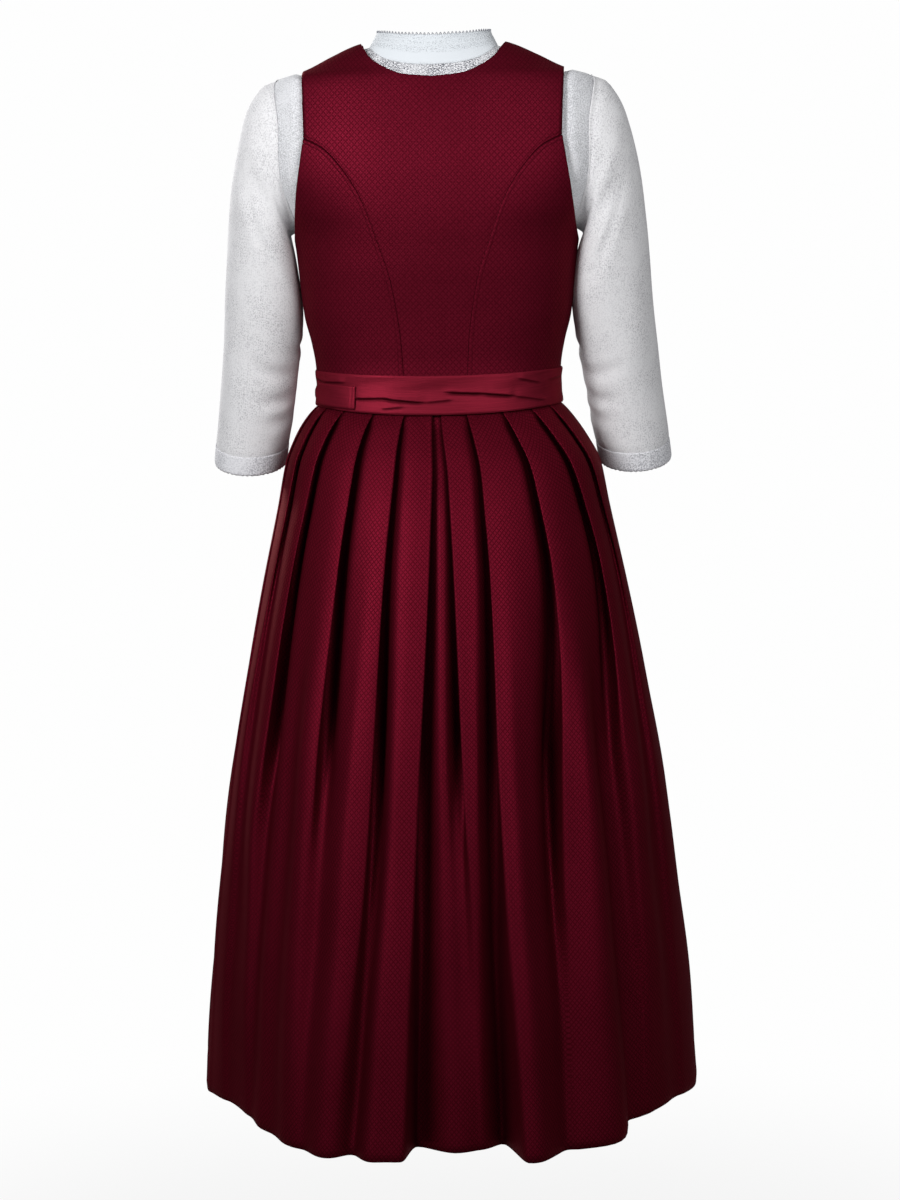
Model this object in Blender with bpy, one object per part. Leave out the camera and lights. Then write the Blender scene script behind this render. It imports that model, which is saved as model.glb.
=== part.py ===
"""Dirndl with its lace blouse and apron, filled out with no wearer.

Metres, Z up, the garment's front towards -Y. The origin lies between the two points where the shoulder
seams meet the neckline. Every piece of cloth is a thin wall whose outer face is a grid of points on a
named form: the torso, the skirt, a sleeve, the ribbon or the apron. Angles on a form are in degrees,
0 at the wearer's left side (+X), 90 at the centre back (+Y), 180 at the right side, 270 at the front.
"""

import math

import bmesh
import bpy
import numpy as np

MM = 0.001

# Cloth walls and clearances, in millimetres
BODICE_WALL = 1.6
SKIRT_WALL = 1.5
RIBBON_WALL = 1.2
APRON_WALL = 1.2
BLOUSE_WALL = 1.0
SEAM_GAP = 0.4

# Edges sharper than this stay sharp in the shading, in degrees
SHARP_ANGLE = 40.0

# Heights that several pieces share, in millimetres below the shoulder and neck point
WAIST = -378.0
SKIRT_HEM = -1172.0
APRON_HEM = -1085.0
SHOULDER_TIP = -27.0
UNDERARM = -213.0
BLOUSE_HEM = -262.0
ARM_RING_TOP = -37.0
ARM_RING_BOTTOM = -203.0
ARM_RING_BACK = 54.0
ARM_RING_FRONT = 59.0

# Squareness of the body sections, where 2 is an ellipse
SQUARENESS = 2.2

# Torso form, the bodice's outer face: half width, depth to the back, depth to the front
TORSO = (
    # height, side, back, front
    (6.0, 62.0, 40.0, 40.0),
    (2.0, 74.0, 52.0, 50.0),
    (0.0, 83.0, 57.0, 55.0),
    (-13.0, 113.0, 66.0, 62.0),
    (-27.0, 142.0, 74.0, 68.0),
    (-36.0, 172.0, 79.0, 72.0),
    (-50.0, 184.0, 84.0, 78.0),
    (-75.0, 192.0, 91.0, 88.0),
    (-110.0, 195.0, 99.0, 104.0),
    (-145.0, 190.0, 103.0, 119.0),
    (-178.0, 174.0, 104.0, 129.0),
    (-203.0, 158.0, 103.0, 131.0),
    (-213.0, 155.5, 102.0, 130.0),
    (-244.0, 151.7, 99.0, 123.0),
    (-270.0, 149.0, 95.0, 115.0),
    (-296.0, 146.0, 91.0, 107.0),
    (-323.0, 139.5, 88.0, 100.0),
    (-349.0, 135.0, 86.0, 97.0),
    (-372.0, 133.5, 86.0, 96.0),
    (-400.0, 136.0, 90.0, 98.0),
)

# Bust fullness of the front panels
BUST_HALF_SPACING = 84.0
BUST_HEIGHT = -196.0
BUST_FULLNESS = 11.0
BUST_SPREAD = 48.0
BUST_FADE_DEPTH = 60.0

# Edges of the bodice pieces on each half, seen square on from behind or in front
BACK_NECKLINE = (
    # half width, height
    (0.0, -34.0),
    (31.0, -31.0),
    (53.0, -22.5),
    (67.0, -14.0),
    (74.5, -5.5),
    (79.0, 0.7),
)
FRONT_NECKLINE = (
    # half width, height
    (0.0, -150.0),
    (36.0, -138.0),
    (58.0, -112.0),
    (69.0, -75.0),
    (76.0, -35.0),
    (79.0, 0.7),
)
BACK_PRINCESS = (
    # half width, height
    (33.5, -378.0),
    (36.8, -321.0),
    (46.0, -260.0),
    (61.0, -212.0),
    (77.0, -169.0),
    (93.0, -142.0),
    (118.0, -114.0),
    (139.0, -103.0),
)
FRONT_PRINCESS = (
    # half width, height
    (54.0, -378.0),
    (61.0, -320.0),
    (71.0, -262.0),
    (82.0, -215.0),
    (93.0, -180.0),
    (112.0, -148.0),
    (134.0, -126.0),
)
BACK_ARMHOLE = (
    # half width, height
    (139.0, -103.0),
    (142.5, -125.0),
    (147.0, -152.0),
    (150.5, -178.0),
    (153.0, -198.0),
    (155.5, -213.0),
)
FRONT_ARMHOLE = (
    # half width, height
    (134.0, -126.0),
    (139.0, -148.0),
    (146.0, -172.0),
    (152.0, -195.0),
    (155.5, -213.0),
)
NECK_POINT = 79.0
CLOSURE_OFFSET = 11.0

# Steps of a curve while its length is measured, and of the cut edges that two pieces share at a seam
CURVE_STEPS = 600
WAIST_STEPS = 2
PRINCESS_STEPS = 9
SHOULDER_STEPS = 5
ARMHOLE_STEPS = 5

# Shares of the way down at which a centre piece has its rows, closer where the shoulder rounds over
ROW_SHARES = (0.0, 0.008, 0.03, 0.07, 0.14, 0.25, 0.40, 0.55, 0.70, 0.85, 1.0)

# Skirt form without its pleats
SKIRT = (
    # height, side, back, front
    (-378.0, 131.0, 84.0, 93.0),
    (-394.0, 132.0, 85.0, 94.0),
    (-402.5, 147.5, 100.0, 106.0),
    (-415.0, 156.0, 113.0, 115.0),
    (-429.0, 166.0, 122.0, 122.0),
    (-455.0, 175.0, 134.0, 131.0),
    (-505.0, 185.0, 150.0, 144.0),
    (-590.0, 202.0, 174.0, 165.0),
    (-700.0, 223.0, 200.0, 190.0),
    (-815.0, 243.5, 222.0, 212.0),
    (-930.0, 258.0, 240.0, 230.0),
    (-1045.0, 271.0, 254.0, 244.0),
    (-1172.0, 280.0, 265.0, 254.0),
)
# The flare under the ribbon starts lower at the centre back and front
WAIST_DIP_BACK = 9.0
WAIST_DIP_FRONT = 4.0
WAIST_DIP_FADE = 60.0

# Fold edges of the knife pleats, as their angles at four heights. A side of 1 has its raised panel at smaller
# angles, -1 at larger ones. Depths are those of the step at the fold edge near the waist, at mid length and
# at the hem.
PLEAT_HEIGHTS = (WAIST, -560.0, -800.0, SKIRT_HEM)
PLEATS = (
    # waist angle, upper angle, lower angle, hem angle, side, waist depth, mid depth, hem depth
    (11.0, 11.0, 11.0, 11.0, 1, 4.0, 4.0, 4.0),
    (27.0, 23.5, 22.0, 21.0, 1, 6.0, 10.0, 5.0),
    (44.5, 37.0, 35.2, 34.0, 1, 8.0, 20.0, 6.0),
    (63.0, 59.2, 59.5, 59.5, 1, 8.0, 17.0, 7.0),
    (78.0, 75.3, 74.8, 70.3, 1, 7.0, 15.0, 14.0),
    (89.1, 88.0, 85.9, 83.9, 1, 7.0, 18.0, 46.0),
    (91.2, 93.6, 95.0, 97.5, -1, 7.0, 15.0, 5.0),
    (101.7, 103.8, 102.6, 104.2, -1, 7.0, 22.0, 62.0),
    (118.3, 125.2, 119.8, 117.0, -1, 8.0, 20.0, 12.0),
    (135.5, 149.5, 144.5, 146.0, -1, 8.0, 17.0, 6.0),
    (152.5, 164.0, 163.0, 163.0, -1, 6.0, 10.0, 5.0),
    (197.0, 197.0, 196.0, 196.0, 1, 5.0, 8.0, 10.0),
    (218.0, 218.0, 217.0, 217.0, 1, 5.0, 8.0, 10.0),
    (238.0, 238.0, 238.0, 238.0, 1, 5.0, 8.0, 10.0),
    (256.0, 256.0, 257.0, 257.0, 1, 5.0, 8.0, 10.0),
    (284.0, 284.0, 283.0, 283.0, -1, 5.0, 8.0, 10.0),
    (302.0, 302.0, 302.0, 302.0, -1, 5.0, 8.0, 10.0),
    (322.0, 322.0, 323.0, 323.0, -1, 5.0, 8.0, 10.0),
    (343.0, 343.0, 344.0, 344.0, -1, 5.0, 8.0, 10.0),
)
# Broad hollows and swells of the skirt, which grow towards the hem
SWELLS = (
    # angle, push at the four heights, half width in degrees
    (31.0, 0.0, -2.0, -8.0, -22.0, 17.0),
    (69.0, 0.0, 0.0, 2.0, 14.0, 8.0),
    (151.0, 0.0, 0.0, -6.0, -22.0, 18.0),
)
# How far the hem hangs higher than level at the back of each side
HEM_LIFTS = (
    # angle, lift, half width in degrees
    (20.0, 17.0, 24.0),
    (160.0, 21.0, 24.0),
)
# The skirt's centre line moves a little to the right below the waist
SKIRT_SHIFT = -3.5
SHIFT_HEIGHTS = (-470.0, -400.0)
FOLD_HALF_WIDTH = 0.9
FOLD_SPREAD = 11.0
PLEAT_START = 20.0
HALF_TURN = 180.0
BACK_PANEL_SHARES = (0.33, 0.67)
FRONT_PANEL_SHARES = (0.5,)
SKIRT_ROWS = (
    -378.4, -393.5, -402.0, -411.0, -422.0, -440.0, -475.0, -530.0, -610.0, -710.0, -820.0, -940.0,
    -1060.0, -1172.0,
)

# Ribbon round the back: its inner face over the torso and skirt, and its edges at the sides and the back
RIBBON_CLEARANCE = 1.3
RIBBON_TOP_SIDE = -353.5
RIBBON_TOP_BACK = -358.5
RIBBON_BOTTOM_SIDE = -392.0
RIBBON_BOTTOM_BACK = -401.0
RIBBON_ENDS = (-14.0, 194.0)
RIBBON_COLUMNS = 36
RIBBON_ROWS = 3
RIBBON_END_SPAN = (12.0, 47.0)
RIBBON_END_TOP = 0.32
RIBBON_END_BOTTOM = 0.93
RIBBON_END_COLUMNS = 8
RIBBON_END_GAP = 0.4
RIBBON_TIP_LENGTH = 0.35
RIBBON_TIP_INSET = 0.22

# Apron
WAISTBAND_WALL = 2.2
WAISTBAND_TOP = -354.0
WAISTBAND_BOTTOM = -394.0
WAISTBAND_GAP = 0.2
WAISTBAND_COLUMNS = 30
APRON_SPAN_WAIST = (208.0, 332.0)
APRON_SPAN_HEM = (207.0, 333.0)
APRON_GATHERS = 12
APRON_STEPS_PER_GATHER = 4
APRON_CLEARANCE = 7.5
APRON_HANG = 9.0
APRON_RIPPLE_TOP = 1.5
APRON_RIPPLE_HEM = 7.0
APRON_ROWS = (-394.4, -404.0, -416.0, -440.0, -490.0, -580.0, -700.0, -830.0, -960.0, -1085.0)

# Blouse
BLOUSE_DEPTH_NECK = 6.2
BLOUSE_DEPTH_BODY = 6.8
BLOUSE_DEPTH_HEIGHTS = (-60.0, -10.0)
COLLAR_BASE = (
    # half width, back height, front height
    (0.0, -23.0, -46.0),
    (25.0, -21.5, -43.0),
    (48.0, -16.0, -32.0),
    (64.0, -7.0, -13.0),
    (72.0, 2.7, 2.7),
)
COLLAR_TOP_SIDE = 60.5
COLLAR_TOP_BACK = 54.0
COLLAR_TOP_FRONT = 52.0
COLLAR_TOP_HEIGHT_BACK = 12.5
COLLAR_TOP_HEIGHT_SIDE = 15.5
COLLAR_TOP_HEIGHT_FRONT = -12.0
COLLAR_STEPS = 7
COLLAR_ROWS = 2
BLOUSE_ROW_SHARES = (0.0, 0.02, 0.06, 0.12, 0.20, 0.30, 0.41, 0.53, 0.65, 0.77, 0.88, 1.0)
BLOUSE_CLOSURE_OFFSET = 8.4

# Sleeve rings from the armhole to the hem: the outermost and innermost points seen from behind
SLEEVE = (
    # outer x, outer z, inner x, inner z, half depth, centre y, lean
    (187.0, -42.0, 161.0, -206.0, 56.0, -2.5, 0.00),
    (197.5, -54.0, 162.0, -210.5, 54.5, -2.5, 0.00),
    (206.0, -69.0, 161.3, -217.0, 51.0, 0.0, 0.00),
    (213.5, -92.0, 161.0, -227.0, 49.5, 0.0, 0.00),
    (220.0, -120.0, 160.0, -239.0, 48.5, -1.0, 0.00),
    (226.0, -153.0, 158.5, -255.0, 47.5, -3.0, -0.03),
    (230.5, -190.0, 157.0, -275.0, 46.5, -7.0, -0.07),
    (234.0, -230.0, 155.8, -298.0, 45.5, -13.0, -0.12),
    (237.5, -272.0, 157.0, -325.0, 44.5, -21.0, -0.18),
    (241.5, -318.0, 160.0, -354.0, 43.5, -31.0, -0.24),
    (246.5, -365.0, 164.0, -386.0, 42.5, -41.0, -0.29),
    (252.0, -407.0, 168.5, -416.0, 42.0, -50.0, -0.32),
    (256.0, -437.0, 173.5, -439.0, 41.5, -56.0, -0.33),
)
BAND_BOTTOM = (258.5, -457.0, 176.5, -459.0, 42.0, -60.0, -0.33)
BAND_SWELL = 0.3
SLEEVE_AROUND = 20

# Buttons
BODICE_BUTTON_RADIUS = 7.0
BODICE_BUTTON_HEIGHTS = (-168.0, -203.0, -238.0, -273.0, -308.0, -340.0)
BLOUSE_BUTTON_RADIUS = 5.0
BLOUSE_BUTTON_HEIGHTS = (-60.0, -86.0, -112.0, -136.0)
BUTTON_THICKNESS = 2.6
BUTTON_SIDES = 14
BUTTON_CLEARANCE = 0.8
BUTTON_PROFILE = (
    # share of the radius, share of the thickness
    (0.94, 0.0),
    (1.0, 0.3),
    (0.97, 0.75),
    (0.8, 1.0),
)

# Colours
BODICE_RED = (0.118, 0.006, 0.014, 1.0)
SKIRT_RED = (0.128, 0.006, 0.015, 1.0)
RIBBON_RED = (0.202, 0.011, 0.024, 1.0)
LACE_WHITE = (0.76, 0.74, 0.78, 1.0)
BUTTON_METAL = (0.55, 0.53, 0.50, 1.0)


def clear_scene():
    for item in list(bpy.data.objects):
        bpy.data.objects.remove(item, do_unlink=True)


def material(name, colour, roughness, metallic=0.0):
    made = bpy.data.materials.get(name)
    if made:
        return made
    made = bpy.data.materials.new(name)
    made.use_nodes = True
    shader = made.node_tree.nodes["Principled BSDF"]
    shader.inputs["Base Color"].default_value = colour
    shader.inputs["Roughness"].default_value = roughness
    shader.inputs["Metallic"].default_value = metallic
    made.diffuse_color = colour
    return made


def bodice_cloth():
    return material("bodice_cloth", BODICE_RED, 0.55)


def skirt_cloth():
    return material("skirt_cloth", SKIRT_RED, 0.45)


def ribbon_cloth():
    return material("ribbon_cloth", RIBBON_RED, 0.4)


def blouse_lace():
    return material("blouse_lace", LACE_WHITE, 0.85)


def button_metal():
    return material("button_metal", BUTTON_METAL, 0.35, 0.9)


def blouse_button_shell():
    return material("blouse_button_shell", LACE_WHITE, 0.3)


# Curves through tables

def eased(knots, values, at):
    """Values at given places, on a smooth curve through the knots that never overshoots them."""
    x = np.asarray(knots, float)
    y = np.asarray(values, float)
    order = np.argsort(x)
    x, y = x[order], y[order]
    rise = np.diff(y) / np.diff(x)
    slope = np.zeros_like(y)
    slope[0], slope[-1] = rise[0], rise[-1]
    same_way = rise[:-1] * rise[1:] > 0
    both = np.where(same_way, rise[:-1] + rise[1:], 1.0)
    slope[1:-1] = np.where(same_way, 2 * rise[:-1] * rise[1:] / both, 0.0)
    at = np.clip(np.asarray(at, float), x[0], x[-1])
    i = np.clip(np.searchsorted(x, at) - 1, 0, len(x) - 2)
    width = x[i + 1] - x[i]
    t = (at - x[i]) / width
    start = y[i] * (1 + 2 * t) * (1 - t) ** 2 + slope[i] * width * t * (1 - t) ** 2
    end = y[i + 1] * t * t * (3 - 2 * t) + slope[i + 1] * width * t * t * (t - 1)
    return start + end


def column(table, index, at):
    """One column of a table whose first column is the height."""
    rows = np.array(table)
    return eased(rows[:, 0], rows[:, index], at)


def lengths(points):
    """Length along a run of points, from its first."""
    steps = np.linalg.norm(np.diff(points, axis=0), axis=1)
    return np.concatenate([[0.0], np.cumsum(steps)])


def along(points, steps, front):
    """Points at even steps of length on the torso, along a smooth curve through (half width, height)."""
    rows = np.array(points, float)
    reach = lengths(rows)
    fine = np.linspace(0, reach[-1], CURVE_STEPS)
    curve = np.stack([eased(reach, rows[:, 0], fine), eased(reach, rows[:, 1], fine)], axis=1)
    length = lengths(torso(torso_angle(curve[:, 0], curve[:, 1], front), curve[:, 1]))
    even = np.linspace(0, length[-1], steps + 1)
    return np.stack([np.interp(even, length, curve[:, 0]), np.interp(even, length, curve[:, 1])], axis=1)


# Forms

def section(angle, side, back, front):
    """Place on a body section at an angle in degrees."""
    turn = np.radians(angle)
    c, s = np.cos(turn), np.sin(turn)
    power = 2 / SQUARENESS
    depth = np.where(s >= 0, back, front)
    return side * np.sign(c) * np.abs(c) ** power, depth * np.sign(s) * np.abs(s) ** power


def torso(angle, height):
    """Points of the torso form in millimetres."""
    x, y = section(angle, *(column(TORSO, k, height) for k in (1, 2, 3)))
    near = ((np.abs(x) - BUST_HALF_SPACING) ** 2 + (height - BUST_HEIGHT) ** 2) / BUST_SPREAD ** 2
    y = np.where(y < 0, y - BUST_FULLNESS * np.exp(-near) * np.clip(-y / BUST_FADE_DEPTH, 0, 1), y)
    return np.stack([x, y, np.broadcast_to(height, x.shape)], axis=-1)


def torso_normal(angle, height):
    turn, rise = 0.5, 0.5
    across = torso(angle + turn, height) - torso(angle - turn, height)
    up = torso(angle, height + rise) - torso(angle, height - rise)
    normal = np.cross(across, up)
    return normal / np.linalg.norm(normal, axis=-1, keepdims=True)


def torso_angle(half_width, height, front):
    """Angle on the left half of the torso form for a half width seen square on."""
    share = np.clip(half_width / column(TORSO, 1, height), -1, 1)
    turn = np.degrees(np.arccos(np.sign(share) * np.abs(share) ** (SQUARENESS / 2)))
    return -turn if front else turn


def ridge_height(half_width):
    """Height of the shoulder line at a half width."""
    heights = np.linspace(ARM_RING_TOP, TORSO[0][0], CURVE_STEPS)
    return np.interp(half_width, column(TORSO, 1, heights)[::-1], heights[::-1])


def grid_normals(points, closed):
    """Outward normals of a grid whose rows go down and whose columns go anticlockwise."""
    if closed:
        across = np.roll(points, -1, axis=1) - np.roll(points, 1, axis=1)
    else:
        across = np.gradient(points, axis=1)
    down = np.gradient(points, axis=0)
    normal = np.cross(down, across)
    return normal / np.linalg.norm(normal, axis=-1, keepdims=True)


def seamed(points, normals, sides):
    """The grid with its named edges drawn in by half a seam gap."""
    drawn = points.copy()
    edges = {
        "first_row": (np.s_[0, :], np.s_[1, :]),
        "last_row": (np.s_[-1, :], np.s_[-2, :]),
        "first_column": (np.s_[:, 0], np.s_[:, 1]),
        "last_column": (np.s_[:, -1], np.s_[:, -2]),
    }
    for side in sides:
        edge, inside = edges[side]
        run = np.gradient(points[edge], axis=0)
        inward = np.cross(normals[edge], run)
        inward /= np.linalg.norm(inward, axis=-1, keepdims=True)
        towards = np.sum(inward * (points[inside] - points[edge]), axis=-1)
        facing = np.sign(np.sum(towards))
        drawn[edge] += inward * facing * SEAM_GAP / 2
    return drawn


def wall(name, outer, inner, closed, cloth):
    """A closed wall between two grids of points in millimetres."""
    rows, columns = outer.shape[:2]
    count = rows * columns
    points = np.concatenate([outer.reshape(-1, 3), inner.reshape(-1, 3)]) * MM
    around = columns if closed else columns - 1
    faces = []
    for r in range(rows - 1):
        for c in range(around):
            n = (c + 1) % columns
            a, b, d, e = r * columns + c, r * columns + n, (r + 1) * columns + n, (r + 1) * columns + c
            faces.append((a, b, d, e))
            faces.append((count + e, count + d, count + b, count + a))
    for c in range(around):
        n = (c + 1) % columns
        last = (rows - 1) * columns
        faces.append((n, c, count + c, count + n))
        faces.append((last + c, last + n, count + last + n, count + last + c))
    if not closed:
        for r in range(rows - 1):
            a, b = r * columns, (r + 1) * columns
            faces.append((a, b, count + b, count + a))
            a, b = a + columns - 1, b + columns - 1
            faces.append((b, a, count + a, count + b))
    return solid(name, points.tolist(), faces, cloth)


def solid(name, points, faces, cloth):
    mesh = bpy.data.meshes.new(name)
    mesh.from_pydata(points, [], faces)
    work = bmesh.new()
    work.from_mesh(mesh)
    bmesh.ops.recalc_face_normals(work, faces=work.faces)
    if work.calc_volume(signed=True) < 0:
        bmesh.ops.reverse_faces(work, faces=work.faces)
    work.to_mesh(mesh)
    work.free()
    mesh.shade_smooth()
    mesh.set_sharp_from_angle(angle=math.radians(SHARP_ANGLE))
    mesh.materials.append(cloth)
    made = bpy.data.objects.new(name, mesh)
    bpy.context.scene.collection.objects.link(made)
    return made


def mirrored(grid):
    """The grid of the wearer's other half, with its columns still anticlockwise."""
    return (grid * (-1, 1, 1))[:, ::-1]


# Bodice

def from_start(table, start, steps, front):
    """A neck curve's points from a line near the centre out to the side."""
    rows = np.array(table, float)
    head = [[start, eased(rows[:, 0], rows[:, 1], abs(start))]]
    rest = rows[rows[:, 0] > max(start, 0.0)]
    return along(np.concatenate([head, rest]), steps, front)


def half_grid(neckline, princess, front, start):
    """Half of a centre piece as (half width, height), from its start line out to the armhole."""
    seam = along(princess, PRINCESS_STEPS, front)
    waist_x = np.linspace(start, seam[0, 0], WAIST_STEPS + 1)[:-1]
    bottom = np.concatenate([np.stack([waist_x, np.full(WAIST_STEPS, WAIST)], axis=1), seam])
    upper_steps = len(bottom) - 1 - SHOULDER_STEPS
    neck = from_start(neckline, start, upper_steps, front)
    shoulder_x = np.linspace(NECK_POINT, column(TORSO, 1, SHOULDER_TIP), SHOULDER_STEPS + 1)[1:]
    shoulder = np.stack([shoulder_x, ridge_height(shoulder_x)], axis=1)
    top = np.concatenate([neck, shoulder])
    share = np.array(ROW_SHARES)[:, None, None]
    return top[None] * (1 - share) + bottom[None] * share


def on_torso(plan, front):
    """Angles and heights of a plan grid of half widths and heights."""
    angle = torso_angle(plan[..., 0], plan[..., 1], front)
    return angle, plan[..., 1]


def torso_wall(name, angle, height, seams, thickness, cloth, depth=0.0):
    """A wall on the torso form, its outer face sunk by a depth."""
    surface = torso(angle, height)
    normal = torso_normal(angle, height)
    outer = seamed(surface - normal * np.asarray(depth)[..., None], normal, seams)
    return wall(name, outer, outer - normal * thickness, False, cloth)


def to_right(angle):
    """Angles of the wearer's right half, columns reversed so that they stay anticlockwise."""
    return (180 - angle)[:, ::-1]


def bodice_back():
    angle, height = on_torso(half_grid(BACK_NECKLINE, BACK_PRINCESS, False, 0.0), False)
    whole_angle = np.concatenate([angle[:, ::-1], 180 - angle[:, 1:]], axis=1)
    whole_height = np.concatenate([height[:, ::-1], height[:, 1:]], axis=1)
    seams = ("first_row", "last_row")
    torso_wall("bodice_back", whole_angle, whole_height, seams, BODICE_WALL, bodice_cloth())


def bodice_front(side, start):
    angle, height = on_torso(half_grid(FRONT_NECKLINE, FRONT_PRINCESS, True, start), True)
    seams = ["first_row", "last_row", "first_column"]
    name = f"bodice_front_{side}"
    if side == "right":
        angle, height = to_right(angle), height[:, ::-1]
        seams[2] = "last_column"
    torso_wall(name, angle, height, seams, BODICE_WALL, bodice_cloth())


def coons(top, bottom, left, right):
    """A patch between four edges given as arrays of pairs. Rows go from top to bottom."""
    rows, columns = len(left), len(top)
    u = np.linspace(0, 1, columns)[None, :, None]
    v = np.linspace(0, 1, rows)[:, None, None]
    across = left[:, None] * (1 - u) + right[:, None] * u
    down = top[None] * (1 - v) + bottom[None] * v
    corners = (top[0] * (1 - u) + top[-1] * u) * (1 - v) + (bottom[0] * (1 - u) + bottom[-1] * u) * v
    return across + down - corners


def edge_on_torso(points, front):
    rows = np.asarray(points)
    return np.stack([torso_angle(rows[:, 0], rows[:, 1], front), rows[:, 1]], axis=1)


def side_piece(front):
    """Angles and heights of a side piece on the left half."""
    princess = along(FRONT_PRINCESS if front else BACK_PRINCESS, PRINCESS_STEPS, front)[::-1]
    armhole = along(FRONT_ARMHOLE if front else BACK_ARMHOLE, ARMHOLE_STEPS, front)
    inner = edge_on_torso(princess, front)
    top = edge_on_torso(armhole, front)
    side_height = np.linspace(UNDERARM, WAIST, PRINCESS_STEPS + 1)
    outer = np.stack([np.zeros(PRINCESS_STEPS + 1), side_height], axis=1)
    waist_angle = np.linspace(inner[-1, 0], 0, ARMHOLE_STEPS + 1)
    bottom = np.stack([waist_angle, np.full(ARMHOLE_STEPS + 1, WAIST)], axis=1)
    patch = coons(top, bottom, inner, outer)
    return patch[..., 0], patch[..., 1]


def bodice_sides():
    for front in (False, True):
        angle, height = side_piece(front)
        place = "front" if front else "back"
        seams = ("first_column", "last_column", "last_row")
        torso_wall(f"bodice_side_{place}_left", angle, height, seams, BODICE_WALL, bodice_cloth())
        torso_wall(
            f"bodice_side_{place}_right", to_right(angle), height[:, ::-1], seams, BODICE_WALL,
            bodice_cloth(),
        )


def bodice():
    bodice_back()
    bodice_front("left", CLOSURE_OFFSET)
    bodice_front("right", -CLOSURE_OFFSET)
    bodice_sides()


# Skirt

def pleat_lines(height):
    """Fold-edge angles and depths at a height."""
    rows = np.array(PLEATS)
    angles = np.array([eased(PLEAT_HEIGHTS, row[:4], height) for row in rows])
    middle = (WAIST + SKIRT_HEM) / 2
    depths = np.array([eased((WAIST, middle, SKIRT_HEM), row[5:8], height) for row in rows])
    return angles, rows[:, 4], depths


def skirt_angles(height):
    """Angles of the grid's columns at a height: two at each fold edge and some between."""
    lines = pleat_lines(height)[0]
    following = np.append(lines[1:], lines[0] + 360)
    spots = []
    for line, after in zip(lines, following):
        begin, end = line + FOLD_HALF_WIDTH, after - FOLD_HALF_WIDTH
        shares = BACK_PANEL_SHARES if line < HALF_TURN else FRONT_PANEL_SHARES
        between = [begin + (end - begin) * share for share in shares]
        spots.extend([line - FOLD_HALF_WIDTH, begin, *between])
    return np.array(spots)


def skirt_form(angle, height):
    """Places on the skirt's form without its pleats, and the level on its table that they have."""
    lower = np.where(np.sin(np.radians(angle)) >= 0, WAIST_DIP_BACK, WAIST_DIP_FRONT)
    fade = np.clip(1 - (WAIST - height) / WAIST_DIP_FADE, 0, 1)
    level = np.minimum(height + lower * np.sin(np.radians(angle)) ** 2 * fade, WAIST)
    x, y = section(angle, *(column(SKIRT, k, level) for k in (1, 2, 3)))
    return x + np.interp(height, SHIFT_HEIGHTS, (SKIRT_SHIFT, 0.0)), y, level


def swelled(angle, table):
    """Sum of soft bumps round the skirt, each given by its angle, size and half width."""
    total = np.zeros_like(angle)
    for centre, size, width in table:
        off = (angle - centre + 180) % 360 - 180
        total += size * np.exp(-((off / width) ** 2))
    return total


def skirt_point(angle, height):
    """Points of the pleated skirt in millimetres."""
    x, y, level = skirt_form(angle, height)
    started = np.clip((SKIRT[1][0] - level) / PLEAT_START, 0, 1)
    push = np.zeros_like(angle)
    for line, side, depth in zip(*pleat_lines(height)):
        off = (angle - line + 180) % 360 - 180
        raised = np.tanh(-side * off / FOLD_HALF_WIDTH)
        push += 0.5 * depth * raised * np.exp(-((off / FOLD_SPREAD) ** 2))
    push += swelled(angle, [(row[0], eased(PLEAT_HEIGHTS, row[1:5], height), row[5]) for row in SWELLS])
    grow = 1 + push * started / np.hypot(x, y)
    lift = swelled(angle, HEM_LIFTS) * ((WAIST - height) / (WAIST - SKIRT_HEM)) ** 3
    return np.stack([x * grow, y * grow, height + lift], axis=-1)


def skirt():
    rows = [skirt_point(skirt_angles(height), height) for height in SKIRT_ROWS]
    ring = np.stack(rows)
    normal = grid_normals(ring, True)
    back_panels = int(np.sum(np.array(PLEATS)[:, 0] < HALF_TURN))
    right_seam = back_panels * (2 + len(BACK_PANEL_SHARES)) - 1
    left_seam = ring.shape[1] - 1
    back = np.arange(left_seam - ring.shape[1], right_seam + 1)
    front = np.arange(right_seam, left_seam + 1)
    for name, picked in (("skirt_back", back), ("skirt_front", front)):
        points, facing = ring[:, picked], normal[:, picked]
        outer = seamed(points, facing, ("first_column", "last_column"))
        wall(name, outer, outer - facing * SKIRT_WALL, False, skirt_cloth())


# Ribbon and apron

def belt_form(angle, height, clearance):
    """Points over the bodice's lower edge and the skirt's top, and their level normals."""
    normal = torso_normal(angle, height) * (1, 1, 0)
    normal /= np.linalg.norm(normal, axis=-1, keepdims=True)
    return torso(angle, height) + normal * clearance, normal


def ribbon_grid(angles, shares):
    """Angles and heights over the ribbon's length and its width, top to bottom."""
    back = np.clip(np.sin(np.radians(angles)), 0, 1) ** 2
    top = RIBBON_TOP_SIDE + (RIBBON_TOP_BACK - RIBBON_TOP_SIDE) * back
    bottom = RIBBON_BOTTOM_SIDE + (RIBBON_BOTTOM_BACK - RIBBON_BOTTOM_SIDE) * back
    height = top[None] + (bottom - top)[None] * np.asarray(shares)[:, None]
    return np.broadcast_to(angles, height.shape), height


def ribbon():
    angles = np.linspace(*RIBBON_ENDS, RIBBON_COLUMNS + 1)
    angle, height = ribbon_grid(angles, np.linspace(0, 1, RIBBON_ROWS + 1))
    inner, normal = belt_form(angle, height, RIBBON_CLEARANCE)
    wall("apron_ribbon", inner + normal * RIBBON_WALL, inner, False, ribbon_cloth())


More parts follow.
